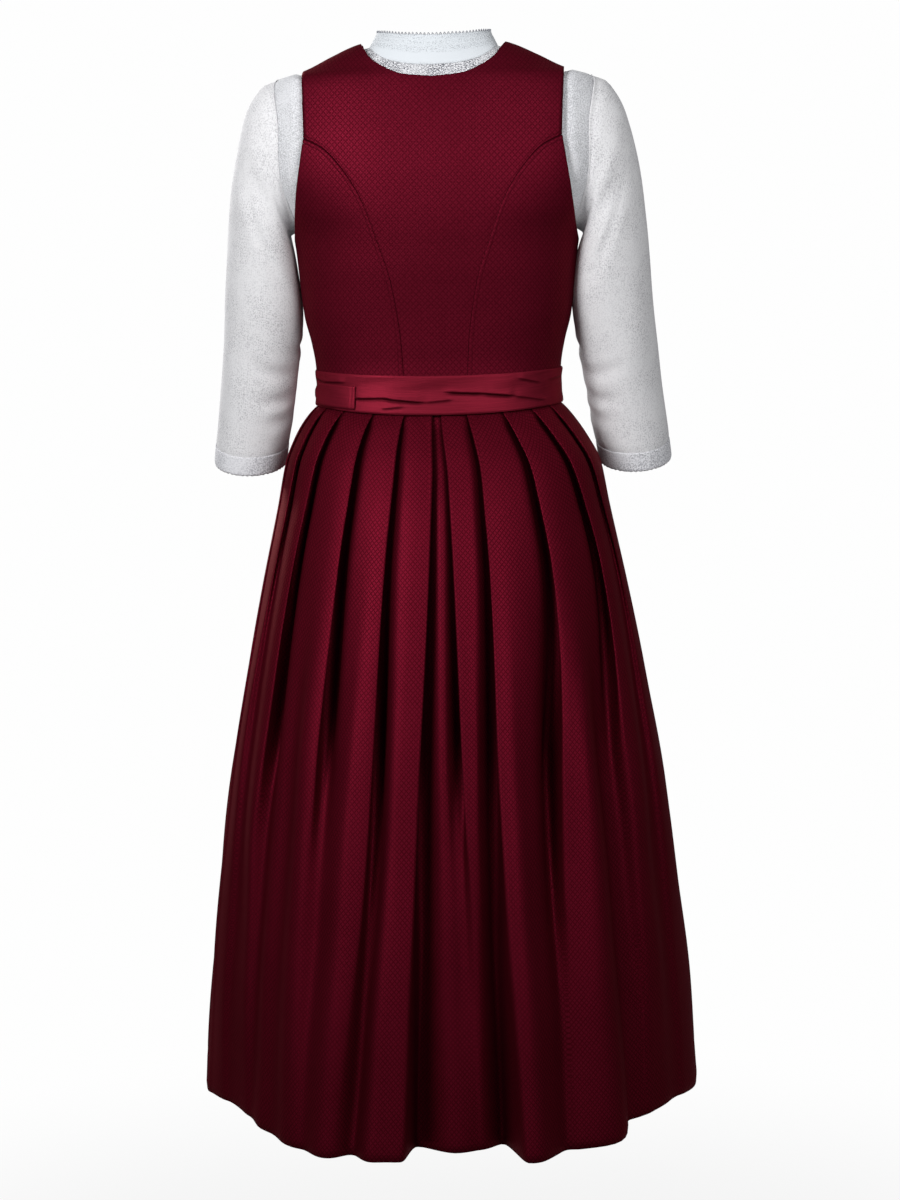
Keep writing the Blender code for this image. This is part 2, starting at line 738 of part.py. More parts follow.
def ribbon_end():
    """The ribbon's folded end, laid flat on the ribbon, round at its tip."""
    turns = np.linspace(0, 1, RIBBON_END_COLUMNS + 1)
    columns = RIBBON_END_SPAN[0] + (RIBBON_END_SPAN[1] - RIBBON_END_SPAN[0]) * turns
    shares = np.linspace(0, 1, RIBBON_ROWS + 1)
    narrow = np.clip(1 - turns / RIBBON_TIP_LENGTH, 0, 1) ** 2 * RIBBON_TIP_INSET
    angle, _ = ribbon_grid(columns, shares)
    reach = RIBBON_END_BOTTOM - RIBBON_END_TOP - 2 * narrow
    share = RIBBON_END_TOP + narrow[None] + reach[None] * shares[:, None]
    height = np.stack([ribbon_grid(columns, row)[1].diagonal() for row in share])
    inner, normal = belt_form(angle, height, RIBBON_CLEARANCE + RIBBON_WALL + RIBBON_END_GAP)
    wall("apron_ribbon_end", inner + normal * RIBBON_WALL, inner, False, ribbon_cloth())


def waistband():
    first, last = RIBBON_ENDS[1] + WAISTBAND_GAP, RIBBON_ENDS[0] + 360 - WAISTBAND_GAP
    angles = np.linspace(first, last, WAISTBAND_COLUMNS + 1)
    heights = np.linspace(WAISTBAND_TOP, WAISTBAND_BOTTOM, RIBBON_ROWS + 1)
    angle, height = np.meshgrid(angles, heights)
    inner, normal = belt_form(angle, height, RIBBON_CLEARANCE)
    wall("apron_waistband", inner + normal * WAISTBAND_WALL, inner, False, ribbon_cloth())


def apron_panel():
    steps = np.linspace(0, 1, APRON_GATHERS * APRON_STEPS_PER_GATHER + 1)
    rows = []
    for height in APRON_ROWS:
        share = (APRON_ROWS[0] - height) / (APRON_ROWS[0] - APRON_HEM)
        begin = APRON_SPAN_WAIST[0] + (APRON_SPAN_HEM[0] - APRON_SPAN_WAIST[0]) * share
        end = APRON_SPAN_WAIST[1] + (APRON_SPAN_HEM[1] - APRON_SPAN_WAIST[1]) * share
        angle = begin + (end - begin) * steps
        under = belt_form(angle, np.full_like(angle, WAISTBAND_BOTTOM), RIBBON_CLEARANCE + WAISTBAND_WALL)[0]
        x, y, _ = skirt_form(angle, height)
        covered = np.hypot(x, y)
        hang = np.clip((APRON_ROWS[0] - height) / APRON_HANG, 0, 1)
        ripple = APRON_RIPPLE_TOP + (APRON_RIPPLE_HEM - APRON_RIPPLE_TOP) * share
        wave = ripple * hang * np.sin(2 * np.pi * APRON_GATHERS * steps)
        clear = covered + APRON_CLEARANCE * hang + ripple
        grow = (np.maximum(np.hypot(under[:, 0], under[:, 1]), clear) + wave) / covered
        rows.append(np.stack([x * grow, y * grow, np.full_like(x, height)], axis=-1))
    outer = np.stack(rows)
    normal = grid_normals(outer, False)
    wall("apron_panel", outer, outer - normal * APRON_WALL, False, ribbon_cloth())


# Blouse

def blouse_depth(height):
    """How far the blouse's outer face lies inside the torso form."""
    return eased(BLOUSE_DEPTH_HEIGHTS, (BLOUSE_DEPTH_BODY, BLOUSE_DEPTH_NECK), height)


def arm_ring(turn):
    """Angle and height on the torso form of the blouse's armhole seam. Turn 0 is its top, in degrees."""
    middle = (ARM_RING_TOP + ARM_RING_BOTTOM) / 2
    height = middle + (ARM_RING_TOP - middle) * np.cos(np.radians(turn))
    swing = np.sin(np.radians(turn))
    y = swing * np.where(swing >= 0, ARM_RING_BACK, ARM_RING_FRONT)
    depth = np.where(y >= 0, column(TORSO, 2, height), column(TORSO, 3, height))
    share = np.abs(y) / depth
    angle = np.degrees(np.arcsin(share ** (SQUARENESS / 2))) * np.sign(y)
    return np.stack([angle, height], axis=-1)


def collar_base(front, start, steps):
    """Neck seam of the blouse as half widths and heights, from near the centre to the side."""
    return from_start(np.array(COLLAR_BASE)[:, (0, 2 if front else 1)], start, steps, front)


def blouse_half(front, start):
    """Angles and heights of half a blouse body piece on the left half."""
    neck = collar_base(front, start, COLLAR_STEPS)
    ridge_x = np.linspace(neck[-1, 0], column(TORSO, 1, ARM_RING_TOP), SHOULDER_STEPS + 1)[1:]
    top = np.concatenate([neck, np.stack([ridge_x, ridge_height(ridge_x)], axis=1)])
    ring = arm_ring(np.linspace(0, -180 if front else 180, SLEEVE_AROUND // 2 + 1))
    ring_x = torso(ring[:, 0], ring[:, 1])[:, 0]
    right = np.concatenate([
        np.stack([ring_x, ring[:, 1]], axis=1),
        [[column(TORSO, 1, BLOUSE_HEM), BLOUSE_HEM]],
    ])
    spread = np.sin(np.linspace(0, np.pi / 2, len(top)))
    hem_x = start + (right[-1, 0] - start) * spread
    bottom = np.stack([hem_x, np.full(len(top), BLOUSE_HEM)], axis=1)
    left_height = top[0, 1] + (BLOUSE_HEM - top[0, 1]) * np.array(BLOUSE_ROW_SHARES)
    left = np.stack([np.full(len(left_height), start), left_height], axis=1)
    return on_torso(coons(top, bottom, left, right), front)


def blouse_body():
    angle, height = blouse_half(False, 0.0)
    whole_angle = np.concatenate([180 - angle[:, :0:-1], angle], axis=1)[:, ::-1]
    whole_height = np.concatenate([height[:, :0:-1], height], axis=1)[:, ::-1]
    seams = ("first_row", "first_column", "last_column")
    torso_wall(
        "blouse_back", whole_angle, whole_height, seams, BLOUSE_WALL, blouse_lace(),
        blouse_depth(whole_height),
    )
    for side, start in (("left", BLOUSE_CLOSURE_OFFSET), ("right", -BLOUSE_CLOSURE_OFFSET)):
        angle, height = blouse_half(True, start)
        if side == "right":
            angle, height = to_right(angle), height[:, ::-1]
        torso_wall(
            f"blouse_front_{side}", angle, height, seams, BLOUSE_WALL, blouse_lace(),
            blouse_depth(height),
        )


def sunk_torso(angle, height):
    """The blouse's outer face."""
    return torso(angle, height) - torso_normal(angle, height) * blouse_depth(height)[..., None]


def collar():
    back = edge_on_torso(collar_base(False, 0.0, COLLAR_STEPS), False)
    left_front = edge_on_torso(collar_base(True, BLOUSE_CLOSURE_OFFSET, COLLAR_STEPS), True)
    right_front = edge_on_torso(collar_base(True, -BLOUSE_CLOSURE_OFFSET, COLLAR_STEPS), True)
    base = np.concatenate([
        left_front[:-1],
        back[::-1],
        np.stack([180 - back[1:, 0], back[1:, 1]], axis=1),
        np.stack([180 - right_front[:-1, 0], right_front[:-1, 1]], axis=1)[::-1],
    ])
    low = sunk_torso(base[:, 0], base[:, 1]) + (0, 0, SEAM_GAP)
    turn = np.unwrap(np.arctan2(low[:, 1], low[:, 0]))
    s = np.sin(turn)
    depth = np.where(s >= 0, COLLAR_TOP_BACK, COLLAR_TOP_FRONT)
    height = COLLAR_TOP_HEIGHT_SIDE + s ** 2 * np.where(
        s >= 0, COLLAR_TOP_HEIGHT_BACK - COLLAR_TOP_HEIGHT_SIDE,
        COLLAR_TOP_HEIGHT_FRONT - COLLAR_TOP_HEIGHT_SIDE,
    )
    high = np.stack([COLLAR_TOP_SIDE * np.cos(turn), depth * s, height], axis=1)
    share = np.linspace(0, 1, COLLAR_ROWS + 1)[:, None, None]
    grid = high[None] * (1 - share) + low[None] * share
    normal = grid_normals(grid, False)
    outer = seamed(grid, normal, ("first_column", "last_column"))
    wall("blouse_collar", outer, outer - normal * BLOUSE_WALL, False, blouse_lace())


def sleeve_ring(row, turn):
    """One ring of the left sleeve. Turn 0 is the outer top, 90 the back, in degrees."""
    outer_x, outer_z, inner_x, inner_z, half_depth, centre_y, lean = row
    c, s = np.cos(np.radians(turn)), np.sin(np.radians(turn))
    x = (outer_x + inner_x) / 2 + (outer_x - inner_x) / 2 * c
    z = (outer_z + inner_z) / 2 + (outer_z - inner_z) / 2 * c
    y = half_depth * s
    return np.stack([x, centre_y + y, z + lean * y], axis=-1)


def sleeve_grid():
    """Outer face of the left sleeve from its armhole seam to the top of its hem band."""
    turn = np.linspace(0, 360, SLEEVE_AROUND + 1)[:-1]
    seam = arm_ring(np.where(turn > 180, turn - 360, turn))
    first = sunk_torso(seam[:, 0], seam[:, 1])
    facing = torso_normal(seam[:, 0], seam[:, 1])
    run = np.roll(first, -1, axis=0) - np.roll(first, 1, axis=0)
    away = np.cross(facing, run)
    away /= np.linalg.norm(away, axis=-1, keepdims=True)
    centre = first.mean(axis=0)
    away *= np.sign(np.sum(away * (centre - first)))
    first = first + away * SEAM_GAP
    return np.stack([first, *(sleeve_ring(row, turn) for row in SLEEVE)])


def sleeves():
    turn = np.linspace(0, 360, SLEEVE_AROUND + 1)[:-1]
    outer = sleeve_grid()
    normal = grid_normals(outer, True)
    inner = outer - normal * BLOUSE_WALL
    top = sleeve_ring(SLEEVE[-1], turn) - (0, 0, SEAM_GAP)
    bottom = sleeve_ring(BAND_BOTTOM, turn)
    band = np.stack([top, (top + bottom) / 2, bottom])
    band_normal = grid_normals(band, True)
    band_outer = band + band_normal * BAND_SWELL
    band_inner = band - band_normal * BLOUSE_WALL
    for side in ("left", "right"):
        grids = [outer, inner, band_outer, band_inner]
        if side == "right":
            grids = [mirrored(grid) for grid in grids]
        wall(f"blouse_sleeve_{side}", grids[0], grids[1], True, blouse_lace())
        wall(f"sleeve_band_{side}", grids[2], grids[3], True, blouse_lace())


# Buttons

def button(name, place, normal, radius, finish):
    """A low round button with a softly domed face, standing on a place."""
    normal = normal / np.linalg.norm(normal)
    side = np.cross(normal, (0, 0, 1.0))
    side /= np.linalg.norm(side)
    up = np.cross(side, normal)
    points = []
    for share, rise in BUTTON_PROFILE:
        for k in range(BUTTON_SIDES):
            turn = 2 * math.pi * k / BUTTON_SIDES
            spoke = side * math.cos(turn) + up * math.sin(turn)
            points.append((place + spoke * radius * share + normal * BUTTON_THICKNESS * rise) * MM)
    faces = [tuple(range(BUTTON_SIDES))]
    for ring in range(len(BUTTON_PROFILE) - 1):
        for k in range(BUTTON_SIDES):
            n = (k + 1) % BUTTON_SIDES
            a, b = ring * BUTTON_SIDES, (ring + 1) * BUTTON_SIDES
            faces.append((a + k, a + n, b + n, b + k))
    last = (len(BUTTON_PROFILE) - 1) * BUTTON_SIDES
    faces.append(tuple(range(last, last + BUTTON_SIDES)))
    return solid(name, [tuple(p) for p in points], faces, finish)


def buttons():
    for k, height in enumerate(BODICE_BUTTON_HEIGHTS):
        spot = np.array([270.0]), np.array([height])
        normal = torso_normal(*spot)[0]
        place = torso(*spot)[0] + normal * BUTTON_CLEARANCE
        button(f"bodice_button_{k + 1}", place, normal, BODICE_BUTTON_RADIUS, button_metal())
    for k, height in enumerate(BLOUSE_BUTTON_HEIGHTS):
        spot = np.array([270.0]), np.array([height])
        normal = torso_normal(*spot)[0]
        place = sunk_torso(*spot)[0] + normal * BUTTON_CLEARANCE
        button(f"blouse_button_{k + 1}", place, normal, BLOUSE_BUTTON_RADIUS, blouse_button_shell())


def main():
    clear_scene()
    bodice()
    skirt()
    ribbon()
    ribbon_end()
    waistband()
    apron_panel()
    blouse_body()
    collar()
    sleeves()
    buttons()


main()
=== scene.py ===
"""Finished look of a dirndl with its lace blouse and apron, filled out with no wearer.

Every piece of cloth is a fine sheet on the same named form as its solid: the torso, the skirt, a sleeve,
the ribbon or the apron. Lengths are in millimetres until the meshes are made. Angles on a form are in
degrees, 0 at the wearer's left side (+X), 90 at the centre back (+Y), 180 at the right side, 270 in front.
"""

import math
from collections import namedtuple

import bpy
import numpy as np
from mathutils import Matrix, Vector


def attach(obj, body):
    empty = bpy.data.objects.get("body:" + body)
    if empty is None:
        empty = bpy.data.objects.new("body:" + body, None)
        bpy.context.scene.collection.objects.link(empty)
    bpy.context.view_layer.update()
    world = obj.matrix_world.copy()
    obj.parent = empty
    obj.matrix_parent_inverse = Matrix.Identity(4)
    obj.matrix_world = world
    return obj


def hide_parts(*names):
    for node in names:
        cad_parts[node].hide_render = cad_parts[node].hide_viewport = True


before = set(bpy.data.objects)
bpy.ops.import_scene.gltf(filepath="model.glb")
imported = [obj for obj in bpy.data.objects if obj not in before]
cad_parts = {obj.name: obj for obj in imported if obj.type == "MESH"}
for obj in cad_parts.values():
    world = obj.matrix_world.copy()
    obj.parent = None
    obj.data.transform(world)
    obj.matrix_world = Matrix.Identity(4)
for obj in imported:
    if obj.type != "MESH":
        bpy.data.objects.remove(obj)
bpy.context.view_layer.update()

MM = 0.001

# Heights that several pieces share, below the shoulder and neck point
WAIST = -378.0
SKIRT_HEM = -1172.0
APRON_HEM = -1085.0
SHOULDER_TIP = -27.0
UNDERARM = -213.0
BLOUSE_HEM = -262.0
ARM_RING_TOP = -37.0
ARM_RING_BOTTOM = -203.0
ARM_RING_BACK = 54.0
ARM_RING_FRONT = 59.0

# Squareness of the body sections, where 2 is an ellipse
SQUARENESS = 2.2

# Torso form, the bodice's outer face
TORSO = (
    # height, side, back, front
    (6, 62, 40, 40),
    (2, 74, 52, 50),
    (0, 83, 57, 55),
    (-13, 113, 66, 62),
    (-27, 142, 74, 68),
    (-36, 172, 79, 72),
    (-50, 184, 84, 78),
    (-75, 192, 91, 88),
    (-110, 195, 99, 104),
    (-145, 190, 103, 119),
    (-178, 174, 104, 129),
    (-203, 158, 103, 131),
    (-213, 155.5, 102, 130),
    (-244, 151.7, 99, 123),
    (-270, 149, 95, 115),
    (-296, 146, 91, 107),
    (-323, 139.5, 88, 100),
    (-349, 135, 86, 97),
    (-372, 133.5, 86, 96),
    (-400, 136, 90, 98),
)
BUST_HALF_SPACING = 84.0
BUST_HEIGHT = -196.0
BUST_FULLNESS = 11.0
BUST_SPREAD = 48.0

# Edges of each half's bodice pieces, as half widths and heights seen square on from behind or in front
BACK_NECKLINE = ((0, -38), (31, -35), (53, -26), (67, -16), (74.8, -5.2), (79, 0.7))
FRONT_NECKLINE = ((0, -150), (36, -138), (58, -112), (69, -75), (76, -35), (79, 0.7))
BACK_PRINCESS = (
    (33.5, -378), (36.8, -321), (46, -260), (61, -212), (77, -169), (93, -142), (118, -114), (139, -103),
)
FRONT_PRINCESS = ((54, -378), (61, -320), (71, -262), (82, -215), (93, -180), (112, -148), (134, -126))
BACK_ARMHOLE = ((139, -103), (142.5, -125), (147, -152), (150.5, -178), (153, -198), (155.5, -213))
FRONT_ARMHOLE = ((134, -126), (139, -148), (146, -172), (152, -195), (155.5, -213))
NECK_POINT = 79.0
CLOSURE_OFFSET = 11.0

# Half the gap at a seam
HALF_GAP = 0.2


# Curves through tables

def cubic(t, width, start, start_slope, end, end_slope):
    """A smooth curve between two values a width apart, at a share t of it."""
    first = start * (1 + 2 * t) * (1 - t) ** 2 + start_slope * width * t * (1 - t) ** 2
    last = end * t * t * (3 - 2 * t) + end_slope * width * t * t * (t - 1)
    return first + last


def eased(knots, values, at):
    """Values at given places, on a smooth curve through the knots that never overshoots them."""
    x = np.asarray(knots, float)
    y = np.asarray(values, float)
    order = np.argsort(x)
    x, y = x[order], y[order]
    rise = np.diff(y) / np.diff(x)
    slope = np.zeros_like(y)
    slope[0], slope[-1] = rise[0], rise[-1]
    same_way = rise[:-1] * rise[1:] > 0
    both = np.where(same_way, rise[:-1] + rise[1:], 1.0)
    slope[1:-1] = np.where(same_way, 2 * rise[:-1] * rise[1:] / both, 0.0)
    at = np.clip(np.asarray(at, float), x[0], x[-1])
    i = np.clip(np.searchsorted(x, at) - 1, 0, len(x) - 2)
    width = x[i + 1] - x[i]
    return cubic((at - x[i]) / width, width, y[i], slope[i], y[i + 1], slope[i + 1])


def column(table, index, at):
    """One column of a table whose first column is the height."""
    rows = np.array(table)
    return eased(rows[:, 0], rows[:, index], at)


def lengths(points):
    """Length down every column of a grid, or along a run of points, from its first."""
    steps = np.linalg.norm(np.diff(points, axis=0), axis=-1)
    return np.concatenate([np.zeros((1,) + steps.shape[1:]), np.cumsum(steps, axis=0)])


def row_lengths(points):
    """Length along every row of a grid, from its first column."""
    return lengths(points.swapaxes(0, 1)).T


def edge_lengths(points):
    """Length from a grid's first and last rows, and from its first and last columns."""
    down, across = lengths(points), row_lengths(points)
    return down, down[-1:] - down, across, across[:, -1:] - across


def along(points, steps, front):
    """Points at even steps of length on the torso, along a smooth curve through (half width, height)."""
    rows = np.array(points, float)
    reach = lengths(rows)
    fine = np.linspace(0, reach[-1], 600)
    curve = np.stack([eased(reach, rows[:, 0], fine), eased(reach, rows[:, 1], fine)], axis=1)
    length = lengths(torso(torso_angle(curve[:, 0], curve[:, 1], front), curve[:, 1]))
    even = np.linspace(0, length[-1], steps + 1)
    return np.stack([np.interp(even, length, curve[:, 0]), np.interp(even, length, curve[:, 1])], axis=1)


def smooth_step(low, high, at):
    t = np.clip((at - low) / (high - low), 0, 1)
    return t * t * (3 - 2 * t)


def bell(off, width):
    """1 at no distance, and next to nothing past twice the width."""
    return np.exp(-((off / width) ** 2))


def half_turn(angle):
    """An angle brought between -180 and 180 degrees."""
    return (angle + 180) % 360 - 180


def unit(vectors):
    return vectors / np.linalg.norm(vectors, axis=-1, keepdims=True)


# Forms

def section(angle, side, back, front):
    """Place on a body section at an angle in degrees."""
    turn = np.radians(angle)
    c, s = np.cos(turn), np.sin(turn)
    power = 2 / SQUARENESS
    depth = np.where(s >= 0, back, front)
    return side * np.sign(c) * np.abs(c) ** power, depth * np.sign(s) * np.abs(s) ** power


def torso(angle, height):
    x, y = section(angle, *(column(TORSO, k, height) for k in (1, 2, 3)))
    near = ((np.abs(x) - BUST_HALF_SPACING) ** 2 + (height - BUST_HEIGHT) ** 2) / BUST_SPREAD ** 2
    y = np.where(y < 0, y - BUST_FULLNESS * np.exp(-near) * np.clip(-y / 60.0, 0, 1), y)
    return np.stack([x, y, np.broadcast_to(height, x.shape)], axis=-1)


def torso_normal(angle, height):
    turn, rise = 0.5, 0.5
    across = torso(angle + turn, height) - torso(angle - turn, height)
    up = torso(angle, height + rise) - torso(angle, height - rise)
    return unit(np.cross(across, up))


def torso_angle(half_width, height, front):
    """Angle on the left half of the torso form for a half width seen square on."""
    share = np.clip(half_width / column(TORSO, 1, height), -1, 1)
    turn = np.degrees(np.arccos(np.sign(share) * np.abs(share) ** (SQUARENESS / 2)))
    return -turn if front else turn


def ridge_height(half_width):
    """Height of the shoulder line at a half width."""
    heights = np.linspace(ARM_RING_TOP, TORSO[0][0], 200)
    return np.interp(half_width, column(TORSO, 1, heights)[::-1], heights[::-1])


def grid_normals(points, closed=False):
    """Outward normals of a grid whose rows go down and whose columns go anticlockwise."""
    across = np.gradient(points, axis=1)
    if closed:
        across = np.roll(points, -1, axis=1) - np.roll(points, 1, axis=1)
    normal = np.cross(np.gradient(points, axis=0), across)
    return normal / np.maximum(np.linalg.norm(normal, axis=-1, keepdims=True), 1e-9)


def mirrored(grid):
    """Places of (angle, height) on the other half of a form, in the same order."""
    return np.stack([180 - grid[..., 0], grid[..., 1]], axis=-1)


def whole(half):
    """A grid over both halves, from the left half's, whose first column is the centre line."""
    return np.concatenate([half[:, ::-1], mirrored(half)[:, 1:]], axis=1)


def at_lengths(grid, length, targets):
    """A grid of (angle, height) with the points of every column at new lengths down it."""
    made = np.empty((*targets.shape, 2))
    for c in range(grid.shape[1]):
        for k in (0, 1):
            made[:, c, k] = np.interp(targets[:, c], length[:, c], grid[:, c, k])
    return made


def respaced(grid, first, last):
    """A torso grid with its columns divided anew: at set lengths near both ends, evenly between."""
    length = lengths(torso(grid[..., 0], grid[..., 1]))
    count = max(3, int((length[-1].max() - first[-1] - last[-1]) / CLOTH_STEP))
    targets = []
    for total in length[-1]:
        squeeze = min(1.0, 0.4 * total / (first[-1] + last[-1]))
        head = np.array(first) * squeeze
        tail = total - np.array(last)[::-1] * squeeze
        targets.append([*head, *np.linspace(head[-1], tail[0], count + 2)[1:-1], *tail])
    return at_lengths(grid, length, np.array(targets).T)


def draw_in(grid, last=True):
    """A torso grid with its first row drawn in by half a seam gap, and its last too unless told."""
    length = lengths(torso(grid[..., 0], grid[..., 1]))
    end = length[-1] - (HALF_GAP if last else 0.0)
    return at_lengths(grid, length, HALF_GAP + length * (end - HALF_GAP) / length[-1])


# Distances from an edge at which a sheet has its rows, and the step between the others
TURNED_EDGE = (0.0, 0.12, 0.4, 0.8, 1.3, 2.4, 4.0, 7.0)
SEAM_EDGE = (0.0, 0.5, 1.0, 1.6, 2.2, 2.8, 3.4, 4.0, 4.6, 5.2, 6.0, 8.0, 11.0)
PLAIN_EDGE = (0.0, 3.0)
CLOTH_STEP = 4.5

# How a sheet's edges end, in millimetres
TURN_RADIUS = 1.3
SEAM_DEPTH = 0.7
SEAM_WIDTH = 0.7
SEAM_ROLL = 0.15
SEAM_ROLL_AT = 2.2
SEAM_ROLL_WIDTH = 1.1
STITCH_DEPTH = 0.25
STITCH_LINE = 4.2
STITCH_WIDTH = 0.6
PLAIN_SEAM_DEPTH = 0.8
PLAIN_SEAM_WIDTH = 1.2


def edge_fall(distance, kind):
    """How far a sheet drops below its form near an edge."""
    if kind == "turned":
        inside = np.clip(TURN_RADIUS - distance, 0, TURN_RADIUS)
        return TURN_RADIUS - np.sqrt(TURN_RADIUS ** 2 - inside ** 2)
    if kind == "seam":
        valley = SEAM_DEPTH * bell(distance, SEAM_WIDTH)
        roll = -SEAM_ROLL * bell(distance - SEAM_ROLL_AT, SEAM_ROLL_WIDTH)
        return valley + roll + STITCH_DEPTH * bell(distance - STITCH_LINE, STITCH_WIDTH)
    if kind == "plain_seam":
        return PLAIN_SEAM_DEPTH * bell(distance, PLAIN_SEAM_WIDTH)
    return np.zeros_like(distance)


# Meshes

def grid_faces(rows, columns, closed=False, reverse=False):
    """Faces of a grid of points numbered row by row. A closed one joins its last column to its first."""
    faces = []
    for r in range(rows - 1):
        for c in range(columns if closed else columns - 1):
            n = (c + 1) % columns
            a, b = (r * columns + c, (r + 1) * columns + c)
            d, e = (r + 1) * columns + n, r * columns + n
            faces.append((a, e, d, b) if reverse else (a, b, d, e))
    return faces


def tube_faces(rows, sides):
    """Faces of a closed body of rings, with a flat face on its first and last."""
    last = (rows - 1) * sides
    ends = [tuple(range(sides))[::-1], tuple(range(last, last + sides))]
    return grid_faces(rows, sides, True, True) + ends


def mesh_of(name, points, faces):
    """A smooth mesh over points in millimetres."""
    mesh = bpy.data.meshes.new(name)
    mesh.from_pydata((np.reshape(points, (-1, 3)) * MM).tolist(), [], faces)
    mesh.shade_smooth()
    return mesh


def sheet_mesh(name, points, uv, closed, painted_crease_shade):
    """A mesh over a grid of points, with its texture map and how much painted shade each point carries."""
    mesh = mesh_of(name, points, grid_faces(*points.shape[:2], closed))
    corners = np.array(grid_faces(len(points), uv.shape[1])).ravel()
    layer = mesh.uv_layers.new(name="cloth")
    layer.data.foreach_set("uv", (uv.reshape(-1, 2) * MM)[corners].ravel())
    # Painted shade, kept as a mesh attribute by which the material darkens its colour
    if painted_crease_shade is not None:
        depth = mesh.attributes.new("painted_crease_shade", "FLOAT", "POINT")
        depth.data.foreach_set("value", np.clip(painted_crease_shade, 0, 1).ravel())
    return mesh


def shown(name, data):
    made = bpy.data.objects.new(name, data)
    bpy.context.scene.collection.objects.link(made)
    return made


def piece(name, mesh, material, node=None):
    """A visible piece on the one body, in place of a solid's node where it has one."""
    made = shown(name, mesh)
    mesh.materials.append(material)
    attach(made, "root")
    if node:
        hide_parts(node)
    return made


# Share of its longest row and column that a rectangular cut's area has at least
RECTANGLE_SHARE = 0.995


def flat_size(points, closed, panel):
    """A grid's area in square metres, and its longest row and column. A panel's row is measured level."""
    grid = np.concatenate([points, points[:, :1]], axis=1) if closed else points
    a, b, c, d = grid[:-1, :-1], grid[1:, :-1], grid[1:, 1:], grid[:-1, 1:]
    area = np.linalg.norm(np.cross(c - a, b - d), axis=-1).sum() / 2
    width, length = row_lengths(grid)[:, -1].max(), lengths(grid)[-1].max()
    if panel:
        level = [np.linalg.norm(np.diff(grid, axis=k)[..., :2], axis=-1).sum(axis=k) for k in (0, 1)]
        across = int(level[1].mean() > level[0].mean())
        width = level[across].max()
        length = (row_lengths(grid)[:, -1], lengths(grid)[-1])[across].max()
    return area * MM * MM, width * MM, length * MM


def lay(name, points, uv, cloth, node, painted_crease_shade=None, closed=False, panel=False):
    """A finished sheet in place of its solid, as thick as its cloth. Its cut's size, and its area where that
    isn't a rectangle, are worked out but not kept.
    """
    made = piece(name, sheet_mesh(name, points, uv, closed, painted_crease_shade), cloth.material, node)
    solidify = made.modifiers.new("thickness", "SOLIDIFY")
    solidify.thickness = cloth.thickness * MM
    solidify.offset = -1.0
    solidify.use_even_offset = False
    area, width, length = flat_size(points, closed, panel)
    if area > RECTANGLE_SHARE * width * length:
        area = None


def cloth_uv(points):
    """Texture places of a grid: level length across from its middle column, and length down its columns."""
    u = row_lengths(points[..., :2])
    middle = points.shape[1] // 2
    u = u - u[:, middle:middle + 1]
    fall = np.sum(np.diff(points, axis=0) ** 2, axis=-1) - np.diff(u, axis=0) ** 2
    v = np.concatenate([np.zeros((1, points.shape[1])), np.cumsum(np.sqrt(np.maximum(fall, 0.0)), axis=0)])
    return np.stack([u, v - v[-1:]], axis=-1)


def torso_uv(angle, height):
    """Texture places on the torso: level length from the centre line, and height along the centre back."""
    middle = 90.0 if np.sin(np.radians(angle.mean())) >= 0 else 270.0
    away = half_turn(angle - middle)
    share = np.linspace(0, 1, 33)
    level = np.broadcast_to(height[..., None], (*height.shape, len(share)))
    turned = torso(middle + away[..., None] * share, level)
    u = np.sign(away) * np.sum(np.linalg.norm(np.diff(turned, axis=-2), axis=-1), axis=-1)
    levels = np.linspace(WAIST, height.max(), 200)
    v = np.interp(height, levels, lengths(torso(np.full(200, middle), levels)))
    return np.stack([u, v], axis=-1)


def ripple(points, size):
    """Slight unevenness of a worn cloth, as a normal offset."""
    x, y, z = points[..., 0], points[..., 1], points[..., 2]
    return size * (
        0.5 * np.sin(x / 31.0 + z / 47.0 + 0.6) * np.sin(z / 38.0 - x / 90.0)
        + 0.3 * np.sin(x / 17.0 - z / 71.0 + 2.1) + 0.2 * np.sin(z / 22.0 + y / 29.0)
    )


# Materials

# Share of a burgundy cloth's reflection that is its satin gleam
SATIN = 0.62


